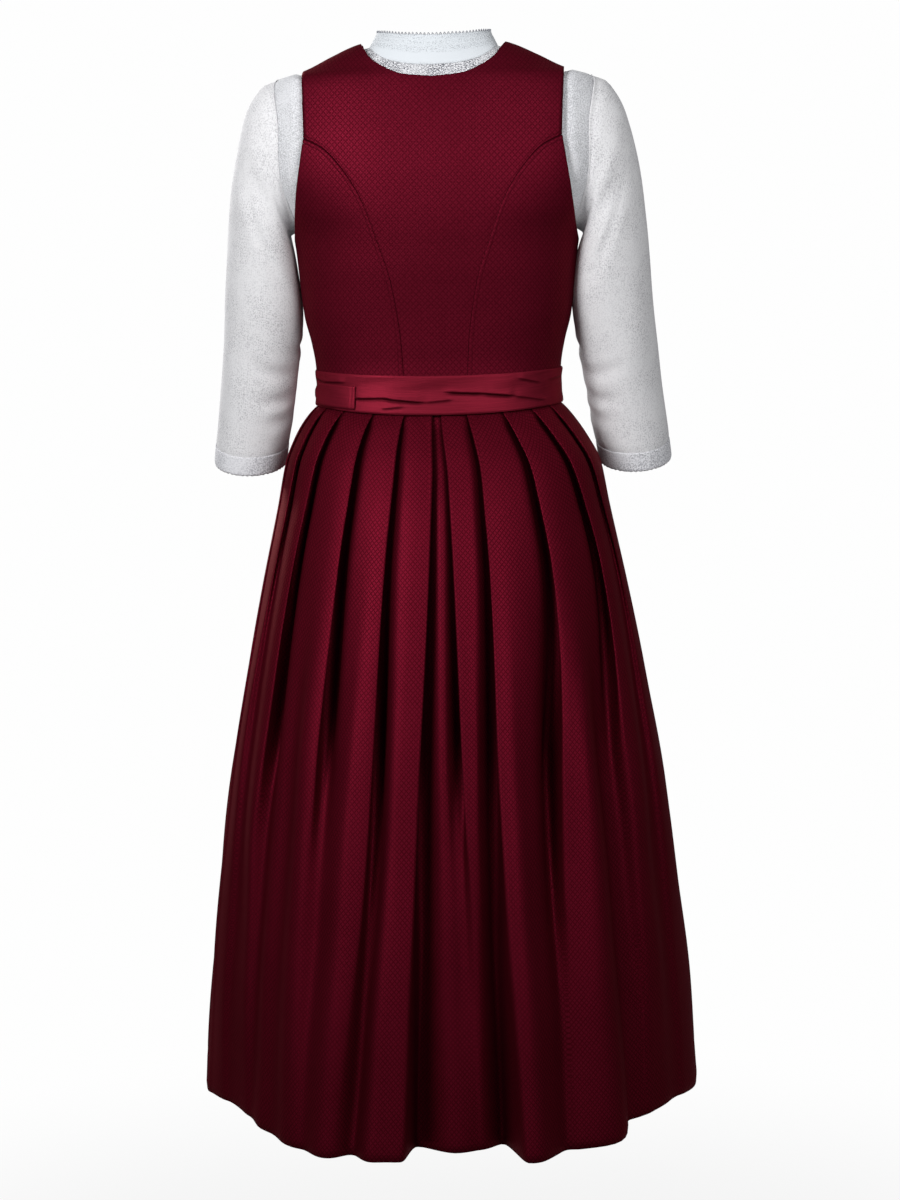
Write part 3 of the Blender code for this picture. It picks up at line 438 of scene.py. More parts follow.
class Nodes:
    """Builds a material's nodes with short calls. Colours are given as three shares."""

    def __init__(self, name):
        self.material = bpy.data.materials.new(name)
        self.material.use_nodes = True
        self.tree = self.material.node_tree
        self.shader = self.tree.nodes["Principled BSDF"]

    def node(self, kind, **values):
        made = self.tree.nodes.new(kind)
        for key, value in values.items():
            setattr(made, key, value)
        return made

    def feed(self, socket, value):
        if isinstance(value, bpy.types.NodeSocket):
            self.tree.links.new(value, socket)
        else:
            socket.default_value = (*value, 1.0) if isinstance(value, tuple) else value

    def give(self, **values):
        """Sets or links the surface's own inputs."""
        for name, value in values.items():
            self.feed(self.shader.inputs[name.replace("_", " ")], value)

    def math(self, kind, *values):
        made = self.node("ShaderNodeMath", operation=kind)
        for socket, value in zip(made.inputs, values):
            self.feed(socket, value)
        return made.outputs[0]

    def plus(self, a, b):
        return self.math("ADD", a, b)

    def minus(self, a, b):
        return self.math("SUBTRACT", a, b)

    def times(self, a, b):
        return self.math("MULTIPLY", a, b)

    def mix(self, share, a, b):
        made = self.node("ShaderNodeMix", data_type="RGBA")
        for socket, value in zip((made.inputs["Factor"], made.inputs[6], made.inputs[7]), (share, a, b)):
            self.feed(socket, value)
        return made.outputs[2]

    def ramp(self, value, low, high, start=0.0, end=1.0):
        made = self.node("ShaderNodeMapRange", interpolation_type="SMOOTHSTEP")
        names = ("Value", "From Min", "From Max", "To Min", "To Max")
        for name, given in zip(names, (value, low, high, start, end)):
            self.feed(made.inputs[name], given)
        return made.outputs["Result"]

    def split(self, vector):
        made = self.node("ShaderNodeSeparateXYZ")
        self.feed(made.inputs[0], vector)
        return made.outputs[0], made.outputs[1]

    def cloth(self):
        """The texture map's two numbers, in millimetres."""
        u, v = self.split(self.node("ShaderNodeUVMap", uv_map="cloth").outputs[0])
        return self.math("DIVIDE", u, MM), self.math("DIVIDE", v, MM)

    def place(self):
        return self.node("ShaderNodeTexCoord").outputs["Object"]

    def noise(self, scale, detail=2.0, vector=None):
        made = self.node("ShaderNodeTexNoise")
        self.feed(made.inputs["Vector"], self.place() if vector is None else vector)
        self.feed(made.inputs["Scale"], scale)
        self.feed(made.inputs["Detail"], detail)
        return made.outputs["Fac"]

    def bump(self, height, strength, distance):
        """Small relief on the surface, as deep as the distance in metres."""
        made = self.node("ShaderNodeBump")
        made.inputs["Strength"].default_value = strength
        made.inputs["Distance"].default_value = distance
        self.feed(made.inputs["Height"], height)
        self.give(Normal=made.outputs["Normal"])

    def to_line(self, value, pitch):
        """Distance to the nearest of a set of lines a pitch apart, as a share from 0 to 1."""
        return self.math("DIVIDE", self.math("PINGPONG", value, pitch / 2), pitch / 2)

    def satin(self, colour, dark, depth, tint):
        """A burgundy cloth's colour, darkened by painted shade in its creases and seams, and its gleam."""
        # This attribute is painted shade: it darkens the colour in fold gaps, ribbon tucks and seams
        painted_crease_shade = self.node("ShaderNodeAttribute", attribute_name="painted_crease_shade").outputs["Fac"]
        self.give(Base_Color=self.mix(painted_crease_shade, colour, tuple(c * depth for c in dark)), Metallic=SATIN)
        self.give(Specular_IOR_Level=0.06, Specular_Tint=tint)
        return self.material


def jacquard(name, colour, dark, pitch, aspect, roughness, contrast):
    """A woven cloth with a small diamond lattice, its lines darker and lower than the diamonds."""
    n = Nodes(name)
    u, v = n.cloth()
    tall = n.math("DIVIDE", v, aspect)
    first = n.to_line(n.plus(u, tall), pitch)
    second = n.to_line(n.minus(u, tall), pitch)
    diamond = n.ramp(n.math("MINIMUM", first, second), 0.10, 0.50)
    heart = n.ramp(n.math("MAXIMUM", first, second), 0.80, 1.0)
    threads = n.times(n.to_line(v, 0.62), n.to_line(u, 0.55))
    lift = n.minus(diamond, n.times(heart, 0.5))
    tone = n.times(n.minus(lift, 0.35), contrast)
    tone = n.plus(tone, n.times(n.minus(n.noise(9.0, 3.0), 0.5), 0.5))
    tone = n.plus(tone, n.times(n.minus(n.noise(420.0, 1.0), 0.5), 0.7))
    n.give(Roughness=n.plus(roughness, n.times(n.minus(0.5, lift), 0.10)))
    n.bump(n.plus(n.times(lift, 0.7), n.times(threads, 0.3)), 0.3, 0.0003)
    return n.satin(n.mix(n.plus(tone, 0.5), dark, colour), dark, 0.18, (0.75, 0.12, 0.2))


def taffeta(name, colour, dark):
    """A plain light cloth with fine threads across and uneven thicker ones."""
    n = Nodes(name)
    u, v = n.cloth()
    stretched = n.node("ShaderNodeCombineXYZ")
    n.feed(stretched.inputs[0], n.times(u, 0.02))
    n.feed(stretched.inputs[1], n.times(v, 1.1))
    slub = n.noise(1.0, 3.0, stretched.outputs[0])
    threads = n.plus(n.times(n.to_line(v, 0.7), 0.6), n.times(n.to_line(u, 0.5), 0.25))
    n.give(Roughness=0.5)
    n.bump(n.plus(threads, n.times(slub, 0.5)), 0.35, 0.0002)
    return n.satin(n.mix(n.ramp(slub, 0.25, 0.75), dark, colour), dark, 0.3, (0.85, 0.2, 0.25))


def net(name, colour, shade, grain, low, high, openness, amount=1.0, reach=0.0):
    """Lace seen as a fine irregular net, its pores painted dark as the shade seen through them, and closer
    past a distance from the middle.
    """
    n = Nodes(name)
    u, v = n.cloth()
    pores = n.ramp(n.noise(grain, 2.0), low, high)
    clouds = n.ramp(n.noise(30.0, 2.0), 0.3, 0.7, 0.35, 1.0)
    cells = n.times(n.to_line(u, 3.1), n.to_line(n.plus(v, n.times(u, 0.5)), 3.1))
    holes = n.times(n.ramp(cells, 0.35, 0.85), n.ramp(n.noise(150.0, 2.0), 0.35, 0.6))
    gaps = n.plus(n.times(pores, 0.55), n.times(holes, 0.55))
    gaps = n.math("MINIMUM", n.times(n.times(gaps, clouds), amount), 1.0)
    if reach:
        gaps = n.times(gaps, n.ramp(n.math("ABSOLUTE", u), reach, reach + 12.0, 1.0, 0.3))
    # The pores take the shade colour: painted shade of the dark inside seen through them
    n.give(Base_Color=n.mix(gaps, colour, shade), Alpha=n.minus(1.0, n.times(gaps, openness)))
    n.give(Roughness=0.8, Sheen_Weight=0.15)
    n.bump(n.minus(1.0, pores), 0.4, 0.0003)
    return n.material


def collar_lace(name, colour, shade, height):
    """Close white lace with a row of arches in its upper half over a plain band."""
    n = Nodes(name)
    u, v = n.cloth()
    arch_width, arch_radius = 14.0, 3.6
    across = n.minus(n.math("PINGPONG", u, arch_width / 2), arch_width / 4)
    drop = n.minus(v, height * 0.26)
    reach = n.math("SQRT", n.plus(n.times(across, across), n.times(drop, drop)))
    arches = n.ramp(n.math("ABSOLUTE", n.minus(reach, arch_radius)), 1.4, 0.2)
    upper = n.ramp(v, height * 0.62, height * 0.50)
    lower = n.ramp(v, height * 0.80, height * 0.98)
    pores = n.ramp(n.noise(980.0, 1.0), 0.50, 0.66)
    gaps = n.times(n.times(pores, upper), n.minus(1.0, arches))
    gaps = n.math("MAXIMUM", gaps, n.times(pores, lower))
    fine = n.noise(800.0, 1.0)
    tone = n.plus(n.times(gaps, 0.45), n.times(fine, 0.35))
    n.give(Base_Color=n.mix(n.ramp(tone, 0.1, 1.1), colour, shade), Alpha=n.minus(1.0, n.times(gaps, 0.35)))
    n.give(Roughness=0.75, Sheen_Weight=0.2)
    n.bump(n.plus(n.times(arches, 0.9), n.times(fine, 0.3)), 0.6, 0.0004)
    return n.material


def thread_material(name, colour):
    n = Nodes(name)
    grain = n.noise(1500.0, 1.0)
    n.give(Base_Color=n.mix(grain, colour, tuple(c * 0.7 for c in colour)), Roughness=0.6)
    n.bump(grain, 0.4, 0.0002)
    return n.material


def metal_material(name):
    n = Nodes(name)
    wear = n.noise(240.0, 3.0)
    n.give(Base_Color=n.mix(n.ramp(wear, 0.3, 0.6), (0.30, 0.29, 0.28), (0.62, 0.60, 0.57)), Metallic=1.0)
    n.give(Roughness=n.ramp(wear, 0.2, 0.8, 0.28, 0.45))
    n.bump(wear, 0.15, 0.0002)
    return n.material


def shell_material(name):
    n = Nodes(name)
    cloud = n.noise(130.0, 2.0)
    n.give(Base_Color=n.mix(cloud, (0.78, 0.77, 0.76), (0.62, 0.62, 0.66)))
    n.give(Roughness=n.ramp(cloud, 0.2, 0.8, 0.18, 0.3))
    return n.material


# A cloth is its material, a slot name that nothing here reads, and its thickness in millimetres
Cloth = namedtuple("Cloth", "material slot thickness")

BODICE = Cloth(
    jacquard("bodice_jacquard", (0.122, 0.0056, 0.0165), (0.060, 0.0022, 0.0070), 6.4, 1.05, 0.56, 0.55),
    "bodice_cloth", 1.1,
)
SKIRT_CLOTH = Cloth(
    jacquard("skirt_jacquard", (0.128, 0.0050, 0.0155), (0.056, 0.0019, 0.0062), 5.0, 1.15, 0.53, 1.0),
    "skirt_cloth", 0.8,
)
RIBBON_TAFFETA = taffeta("ribbon_taffeta", (0.178, 0.0105, 0.0235), (0.128, 0.0068, 0.0165))
RIBBON = Cloth(RIBBON_TAFFETA, "ribbon_cloth", 0.7)
# Each lace's second colour is the painted shade in its pores
SLEEVE_NET = net("sleeve_lace", (0.76, 0.755, 0.77), (0.36, 0.35, 0.38), 640.0, 0.44, 0.68, 0.15)
YOKE_NET = net("yoke_lace", (0.73, 0.735, 0.76), (0.09, 0.09, 0.12), 820.0, 0.45, 0.58, 0.5, 2.0, 96.0)
BAND_NET = net("band_lace", (0.76, 0.76, 0.79), (0.30, 0.30, 0.34), 620.0, 0.42, 0.64, 0.15, 1.2)
COLLAR_LACE = collar_lace("collar_lace", (0.66, 0.695, 0.73), (0.45, 0.48, 0.52), 38.0)
SLEEVE_LACE, YOKE_LACE, BAND_LACE, COLLAR = (
    Cloth(lace, "blouse_lace", 0.6) for lace in (SLEEVE_NET, YOKE_NET, BAND_NET, COLLAR_LACE)
)
# The white picot thread is coloured grey: painted shade
PICOT_THREAD = thread_material("picot_thread_in_painted_shade", (0.36, 0.37, 0.41))
BUTTON_METAL = metal_material("button_metal_worn")
BUTTON_SHELL = shell_material("button_shell_fine")


# Bodice

FINE_PRINCESS = 60
FINE_SHOULDER = 22
FINE_WAIST = 10
FINE_ARMHOLE = 26
FINE_ROWS = 160


def from_start(table, start, steps, front):
    """A neck curve's points from a line near the centre out to the side."""
    rows = np.array(table, float)
    head = [[start, eased(rows[:, 0], rows[:, 1], abs(start))]]
    rest = rows[rows[:, 0] > max(start, 0.0)]
    return along(np.concatenate([head, rest]), steps, front)


def half_grid(neckline, princess, front, start):
    """Angles and heights of half a centre piece, from its start line out to the armhole."""
    seam = along(princess, FINE_PRINCESS, front)
    waist_x = np.linspace(start, seam[0, 0], FINE_WAIST + 1)[:-1]
    bottom = np.concatenate([np.stack([waist_x, np.full(FINE_WAIST, WAIST)], axis=1), seam])
    neck = from_start(neckline, start, len(bottom) - 1 - FINE_SHOULDER, front)
    shoulder_x = np.linspace(NECK_POINT, column(TORSO, 1, SHOULDER_TIP), FINE_SHOULDER + 1)[1:]
    top = np.concatenate([neck, np.stack([shoulder_x, ridge_height(shoulder_x)], axis=1)])
    share = (np.linspace(0, 1, FINE_ROWS + 1) ** 1.6)[:, None, None]
    plan = top[None] * (1 - share) + bottom[None] * share
    return np.stack([torso_angle(plan[..., 0], plan[..., 1], front), plan[..., 1]], axis=-1)


def panel_on_torso(name, grid, edges, cloth, node, sunk=None, uneven=0.7):
    """A fine sheet on the torso form. edges says how its first and last rows and columns end."""
    angle, height = grid[..., 0], grid[..., 1]
    surface = torso(angle, height)
    normal = torso_normal(angle, height)
    fall = sunk(angle, height) if sunk else np.zeros(angle.shape)
    painted_crease_shade = np.zeros(angle.shape)
    distances = edge_lengths(surface)
    for distance, kind in zip(distances, edges):
        fall += edge_fall(distance, kind)
        # Painted shade along each seam's valley and its stitch line
        if kind == "seam":
            painted_crease_shade += 0.7 * bell(distance, SEAM_WIDTH) + 0.3 * bell(distance - STITCH_LINE, STITCH_WIDTH)
    inner_share = np.clip(np.minimum(*distances[:2]) / 25.0, 0, 1)
    points = surface - normal * fall[..., None]
    points += normal * (ripple(surface, uneven) * inner_share)[..., None]
    lay(name, points, torso_uv(angle, height), cloth, node, painted_crease_shade, panel=True)


def bodice_back():
    half = half_grid(BACK_NECKLINE, BACK_PRINCESS, False, 0.0)
    grid = draw_in(respaced(whole(half), TURNED_EDGE, SEAM_EDGE))
    edges = ("turned", "seam", "plain", "plain")
    panel_on_torso("bodice_back_cloth", grid, edges, BODICE, "bodice_back")


def bodice_front(side, start):
    grid = half_grid(FRONT_NECKLINE, FRONT_PRINCESS, True, start)
    grid = draw_in(respaced(grid, TURNED_EDGE, SEAM_EDGE)).swapaxes(0, 1)
    grid = draw_in(respaced(grid, TURNED_EDGE, PLAIN_EDGE), last=False).swapaxes(0, 1)
    if side == "right":
        grid = mirrored(grid)[:, ::-1]
    edges = ("turned", "seam", "turned", "turned")
    name = f"bodice_front_{side}"
    panel_on_torso(f"{name}_cloth", grid, edges, BODICE, name)


def coons(top, bottom, left, right):
    """A patch between four edges given as arrays of pairs. Rows go from top to bottom."""
    rows, columns = len(left), len(top)
    u = np.linspace(0, 1, columns)[None, :, None]
    v = np.linspace(0, 1, rows)[:, None, None]
    across = left[:, None] * (1 - u) + right[:, None] * u
    down = top[None] * (1 - v) + bottom[None] * v
    corners = (top[0] * (1 - u) + top[-1] * u) * (1 - v) + (bottom[0] * (1 - u) + bottom[-1] * u) * v
    return across + down - corners


def edge_on_torso(points, front):
    rows = np.asarray(points)
    return np.stack([torso_angle(rows[:, 0], rows[:, 1], front), rows[:, 1]], axis=1)


def side_piece(front):
    """Angles and heights of a side piece on the left half."""
    princess = along(FRONT_PRINCESS if front else BACK_PRINCESS, FINE_PRINCESS, front)[::-1]
    armhole = along(FRONT_ARMHOLE if front else BACK_ARMHOLE, FINE_ARMHOLE, front)
    inner = edge_on_torso(princess, front)
    top = edge_on_torso(armhole, front)
    side_height = np.linspace(UNDERARM, WAIST, FINE_PRINCESS + 1)
    outer = np.stack([np.zeros(FINE_PRINCESS + 1), side_height], axis=1)
    waist_angle = np.linspace(inner[-1, 0], 0, FINE_ARMHOLE + 1)
    bottom = np.stack([waist_angle, np.full(FINE_ARMHOLE + 1, WAIST)], axis=1)
    return coons(top, bottom, inner, outer)


def bodice_sides():
    for place in ("back", "front"):
        grid = respaced(side_piece(place == "front"), TURNED_EDGE, PLAIN_EDGE).swapaxes(0, 1)
        grid = draw_in(respaced(grid, SEAM_EDGE, TURNED_EDGE)).swapaxes(0, 1)
        for side in ("left", "right"):
            laid, edges = grid, ("turned", "plain", "seam", "plain_seam")
            if side == "right":
                laid, edges = mirrored(grid)[:, ::-1], ("turned", "plain", "plain_seam", "seam")
            name = f"bodice_side_{place}_{side}"
            panel_on_torso(f"{name}_cloth", laid, edges, BODICE, name)


# Skirt

SKIRT = (
    # height, side, back, front
    (-378, 131, 84, 93),
    (-391, 133, 85, 94),
    (-397, 139.5, 89, 98),
    (-404, 145.5, 94.5, 102.5),
    (-415, 153.5, 101.5, 109),
    (-429, 162, 109.5, 116),
    (-455, 174, 124, 127),
    (-505, 184, 147, 143),
    (-590, 202, 174, 165),
    (-700, 223, 200, 190),
    (-815, 243.5, 222, 212),
    (-930, 258, 240, 230),
    (-1045, 271, 254, 244),
    (-1172, 280, 265, 254),
)
WAIST_DIP_BACK = 9.0
WAIST_DIP_FRONT = 4.0
WAIST_DIP_FADE = 60.0
PLEAT_START = 20.0
FOLD_SPREAD = 11.0
GAP_CLOSES_OVER = 220.0
SIDE_SEAM_COLUMNS = 4
SKIRT_SHIFT = -3.5
# Heights between which that shift, and the pleats' full depth, set in
SHIFT_SETS_IN = (-400.0, -470.0)
PLEATS_SET_IN = (-470.0, -780.0)
PLEAT_HEIGHTS = (WAIST, -560.0, -800.0, SKIRT_HEM)
PLEATS = (
    # waist angle, upper angle, lower angle, hem angle, side, waist depth, mid depth, hem depth, hem softness,
    # height at which its gap has closed
    (11, 11, 11, 11, 1, 4, 3, 2, 1, -520),
    (27, 23.5, 22, 21, 1, 6, 9, 3, 1, -640),
    (44.5, 37, 35.2, 34, 1, 8, 18, 3, 1, -900),
    (63, 59.2, 59.5, 59.5, 1, 8, 17, 5, 1, -900),
    (78, 75.3, 74.8, 70.3, 1, 7, 15, 18, 1, -1300),
    (89.1, 88, 85.9, 83.9, 1, 7, 18, 46, 0.3, -1400),
    (91.2, 93.6, 95, 97.5, -1, 7, 15, 5, 0.8, -940),
    (101.7, 103.8, 102.6, 104.2, -1, 7, 22, 62, 0.25, -1400),
    (118.3, 125.2, 119.8, 117, -1, 8, 20, 12, 1, -1060),
    (135.5, 149.5, 144.5, 146, -1, 8, 16, 3, 1, -820),
    (152.5, 164, 163, 163, -1, 6, 8, 2, 1, -640),
    (197, 197, 196, 196, 1, 5, 8, 8, 1, -700),
    (218, 218, 217, 217, 1, 5, 8, 8, 1, -760),
    (238, 238, 238, 238, 1, 5, 8, 8, 1, -700),
    (256, 256, 257, 257, 1, 5, 8, 8, 1, -820),
    (284, 284, 283, 283, -1, 5, 8, 8, 1, -760),
    (302, 302, 302, 302, -1, 5, 8, 8, 1, -820),
    (322, 322, 323, 323, -1, 5, 8, 8, 1, -700),
    (343, 343, 344, 344, -1, 5, 8, 8, 1, -760),
)
# How far a lower panel lies back beside the fold edge that covers it, and how wide its rise is
GAP_SHAPE = (
    # height, depth, width
    (-378, 0, 3),
    (-405, 3.5, 3.5),
    (-450, 6.5, 4.5),
    (-560, 10, 6.5),
    (-700, 14, 9),
    (-850, 16, 13),
    (-1172, 12, 18),
)
# Strength of the painted shade in the skirt's fold gaps
FOLD_SHADE = 0.9
# Soft ridges and troughs of the skirt, which grow towards the hem
FLUTES = (
    # angle at each height, then push in millimetres at each height, then half width in degrees
    (31, 31, 31, 31, 0, -2, -8, -22, 17),
    (69, 69, 69, 69, 0, 0, 2, 14, 8),
    (151, 151, 151, 151, 0, 0, -6, -22, 18),
    (41.5, 41.5, 43.2, 42, 0, 0, 5, 3, 4.2),
    (49, 48, 48, 47.5, 0, 0, -8, -4, 4.4),
    (57, 56, 54, 55, 0, 0, 3, 3, 3.8),
    (74.5, 72.3, 69, 65.6, 0, 0, 3, 2, 3.8),
    (76, 75, 74.5, 71, 0, 0, -7, -5, 3.2),
    (81, 80, 78.8, 77, 0, 0, 3, 9, 3),
    (91.2, 91, 91, 91.5, 0, 1, 9, 8, 2.6),
    (99, 96.6, 97.3, 94.8, 0, 0, 3, 6, 3),
    (105, 106.4, 106, 107.6, 0, 0, 3, 4, 2.6),
    (120, 123, 119.7, 117.3, 0, 0, -10, -7, 4.2),
    (127, 129.5, 127.3, 128, 0, 0, 10, 11, 6),
    (137, 137, 136, 139, 0, 0, -4, -9, 3.5),
    (142, 143, 139.4, 140.4, 0, 0, -7, -6, 4.4),
    (146, 156, 151.5, 154, 0, 0, 5, 4, 5),
    (207, 206, 208, 208, 0, 0, 4, 6, 3),
    (228, 228, 227, 229, 0, 0, -3, -5, 3),
    (247, 247, 246, 248, 0, 0, 3, 5, 3),
    (270, 270, 268, 271, 0, 0, 4, 7, 4),
    (293, 293, 294, 293, 0, 0, 3, 5, 3),
    (312, 312, 311, 313, 0, 0, -3, -5, 3),
    (333, 333, 334, 333, 0, 0, 4, 6, 3),
)
# How far the hem hangs higher than level at the back of each side
HEM_LIFTS = (
    # angle, lift, half width in degrees
    (20, 14, 24),
    (160, 15, 24),
)
# Shape of a fold: half its zone and how far its layers lie over each other, in millimetres, going down
FOLD_SHAPE = (
    # height, half zone, overlap
    (-378, 2, 3),
    (-400, 2.2, 5),
    (-450, 2.6, 7),
    (-560, 3.5, 9),
    (-700, 6, 10),
    (-850, 11, 7),
    (-1000, 13, 3),
    (-1172, 13, 1),
)
FOLD_SHARE = 0.42
FOLD_STEPS = 16
BACK_PANEL_STEPS = 9
FRONT_PANEL_STEPS = 7
SKIRT_ROW_COUNT = 120
HEM_STITCHES = 42.0


def table_at(values, height, heights=PLEAT_HEIGHTS):
    return np.array([eased(heights, row, height) for row in values])


def skirt_form(angle, height):
    """Places on the skirt's form without its pleats, and the level on its table that they have."""
    s = np.sin(np.radians(angle))
    lower = np.where(s >= 0, WAIST_DIP_BACK, WAIST_DIP_FRONT)
    fade = np.clip(1 - (WAIST - height) / WAIST_DIP_FADE, 0, 1)
    level = np.minimum(height + lower * s ** 2 * fade, WAIST)
    x, y = section(angle, *(column(SKIRT, k, level) for k in (1, 2, 3)))
    return x + SKIRT_SHIFT * smooth_step(*SHIFT_SETS_IN, height), y, level


def skirt_columns(lines, half, lap, per_degree):
    """Every column of a row: its angle, how far its fold shifts it, and its panel."""
    run = np.linspace(-1, 1, FOLD_STEPS + 1)
    ends = np.append(lines[1:], lines[0] + 360) - np.roll(half, -1) / np.roll(per_degree, -1)
    angles, shifts, panels = [], [], []
    for k, line in enumerate(lines):
        reach = half[k] / per_degree[k]
        steps = BACK_PANEL_STEPS if line < 180 else FRONT_PANEL_STEPS
        angles.extend([*(line + reach * run), *np.linspace(line + reach, ends[k], steps + 2)[1:-1]])
        shifts.extend([*(-lap[k] / per_degree[k] * np.sin(math.pi * run)), *np.zeros(steps)])
        panels.extend([*np.where(run < 0, k, k + 1), *[k + 1] * steps])
    return np.array(angles), np.array(shifts), np.array(panels) % len(lines)


def skirt_row(height):
    """One level row of the skirt: its points, their panels, and how much painted shade lies in each fold's
    gap.
    """
    table = np.array(PLEATS)
    lines = table_at(table[:, :4], height)
    side = table[:, 4]
    depths = table_at(table[:, 5:8], height, (WAIST, (WAIST + SKIRT_HEM) / 2, SKIRT_HEM))
    depths *= 0.4 + 0.6 * smooth_step(*PLEATS_SET_IN, height)
    zone, overlap = (float(column(FOLD_SHAPE, k, height)) for k in (1, 2))
    gap_depth, gap_width = (float(column(GAP_SHAPE, k, height)) for k in (1, 2))
    down = (WAIST - height) / (WAIST - SKIRT_HEM)
    soft = 1 + (table[:, 8] - 1) * smooth_step(0.35, 1.0, down)
    per_degree = np.hypot(*skirt_form(lines, height)[:2]) * math.pi / 180
    apart = (np.roll(lines, -1) - lines) % 360 * per_degree
    half = np.minimum(zone * soft, FOLD_SHARE * np.minimum(apart, np.roll(apart, 1)))
    shut = smooth_step(table[:, 9], table[:, 9] + GAP_CLOSES_OVER, height)
    lap = overlap * np.where(lines < 180, 1.0, 0.5) * (0.15 + 0.85 * shut)
    upper = np.linspace(-1, 0, FOLD_STEPS // 2 + 1)
    edge = np.max(half[:, None] * upper - lap[:, None] * np.sin(math.pi * upper), axis=1)
    lines = lines - side * edge / per_degree
    base, shifts, panels = skirt_columns(lines, half, lap, per_degree)
    x, y, level = skirt_form(base + shifts, height)
    push = np.zeros_like(base)
    painted_crease_shade = np.zeros_like(base)
    for k, line in enumerate(lines):
        off = half_turn(base - line)
        beside = off * side[k] * per_degree[k]
        push += 0.5 * depths[k] * np.tanh(-beside / (0.55 * half[k])) * bell(off, FOLD_SPREAD)
        under = shut[k] * smooth_step(0.0, 0.9, beside / half[k])
        past = np.maximum(beside - edge[k], 0)
        push -= gap_depth * under * bell(past, gap_width)
        # Painted shade on the lower panel beside each fold edge, where the covering panel's shadow falls
        painted_crease_shade = np.maximum(painted_crease_shade, FOLD_SHADE * under * bell(past, 0.6 + 0.36 * gap_width))
    painted_crease_shade *= smooth_step(0.0, 8.0, SKIRT[0][0] - 2.0 - height)
    flutes = np.array(FLUTES)
    centres, pushes = table_at(flutes[:, :4], height), table_at(flutes[:, 4:8], height)
    for centre, amount, width in zip(centres, pushes, flutes[:, 8]):
        push += amount * bell(half_turn(base - centre), width)
    low = smooth_step(0.05, 0.7, down)
    push += low * 1.2 * np.sin(height / 71.0 + base / 9.0) * np.sin(base / 13.0 + 1.3 + height / 173.0)
    push += low * 0.4 * np.sin(height / 33.0 - base / 6.0 + 0.7)
    grow = 1 + push * np.clip((SKIRT[1][0] - level) / PLEAT_START, 0, 1) / np.hypot(x, y)
    lift = sum(amount * bell(half_turn(base - centre), width) for centre, amount, width in HEM_LIFTS)
    return np.stack([x * grow, y * grow, height + lift * down ** 3], axis=-1), panels, painted_crease_shade


def skirt():
    share = np.linspace(0, 1, SKIRT_ROW_COUNT + 1)
    heights = WAIST - 0.4 + (SKIRT_HEM - WAIST + 0.4) * (0.35 * share ** 2 + 0.65 * share)
    rows = [skirt_row(height) for height in heights]
    panels = rows[-1][1]
    ring, painted_crease_shade = (np.stack([row[k] for row in rows]) for k in (0, 2))
    reach, down = row_lengths(ring), lengths(ring)
    u = reach.copy()
    for k in range(len(PLEATS)):
        mine = np.flatnonzero(panels == k)
        inner = reach[:, mine[len(mine) // 2]]
        u[:, mine] -= (inner - inner.mean())[:, None]
    uv = np.stack([u, down - down[-1:]], axis=-1)
    columns = ring.shape[1]
    right = sum(row[0] < 180 for row in PLEATS) * (FOLD_STEPS + 1 + BACK_PANEL_STEPS) - SIDE_SEAM_COLUMNS
    left = columns - SIDE_SEAM_COLUMNS
    from_hem = down[-1:] - down
    fall = edge_fall(from_hem, "turned") + 0.35 * bell(from_hem - HEM_STITCHES, 1.6)
    ring = ring - grid_normals(ring, True) * fall[..., None]
    fronts = ("bodice_front_left_cloth", "bodice_front_right_cloth")
    for name, first, last, rests in (
        ("skirt_back", left - columns, right, ("bodice_back_cloth",)), ("skirt_front", right, left, fronts),
    ):
        picked = np.arange(first, last + 1)
        laid_uv = uv[:, picked]
        laid_uv[:, picked < 0, 0] -= reach[:, -1].mean()
        points, painted_fold_shade = ring[:, picked], painted_crease_shade[:, picked]
        lay(f"{name}_cloth", points, laid_uv, SKIRT_CLOTH, name, painted_fold_shade)


# Ribbon and apron

RIBBON_CLEARANCE = 1.3
RIBBON_WALL = 1.2
RIBBON_TOP_SIDE = -353.5
RIBBON_TOP_BACK = -358.5
RIBBON_BOTTOM_SIDE = -392.0
RIBBON_BOTTOM_BACK = -401.0
RIBBON_ENDS = (-14.0, 194.0)
RIBBON_END_SPAN = (11.5, 52.0)
RIBBON_END_TOP = 0.32
RIBBON_END_BOTTOM = 0.93
RIBBON_END_GAP = 0.4
RIBBON_TIP_LENGTH = 0.35
RIBBON_TIP_INSET = 0.3
RIBBON_END_LIFT = 1.3
WAISTBAND_WALL = 2.2
WAISTBAND_TOP = -354.0
WAISTBAND_BOTTOM = -394.0
WAISTBAND_GAP = 0.2
APRON_SPAN_WAIST = (208.0, 332.0)
APRON_SPAN_HEM = (207.0, 333.0)
APRON_GATHERS = 12
APRON_CLEARANCE = 7.5
APRON_HANG = 9.0
APRON_RIPPLE_TOP = 1.5
APRON_RIPPLE_HEM = 7.0
APRON_TOP = -394.4
APRON_HEM_STITCHES = 38.0
APRON_SIDE_STITCHES = 9.0
APRON_STEPS_PER_GATHER = 22
# Distances above the apron's hem at which it has its last rows
APRON_HEM_ROWS = (0.4, 0.8, 1.3, 2.2, 3.6, 6.0)


def belt_form(angle, height, clearance):
    """Points over the bodice's lower edge and the skirt's top."""
    normal = unit(torso_normal(angle, height) * (1, 1, 0))
    return torso(angle, height) + normal * np.asarray(clearance)[..., None]


def ribbon_heights(angles, shares):
    back = np.clip(np.sin(np.radians(angles)), 0, 1) ** 2
    top = RIBBON_TOP_SIDE + (RIBBON_TOP_BACK - RIBBON_TOP_SIDE) * back
    bottom = RIBBON_BOTTOM_SIDE + (RIBBON_BOTTOM_BACK - RIBBON_BOTTOM_SIDE) * back
    return top + (bottom - top) * shares


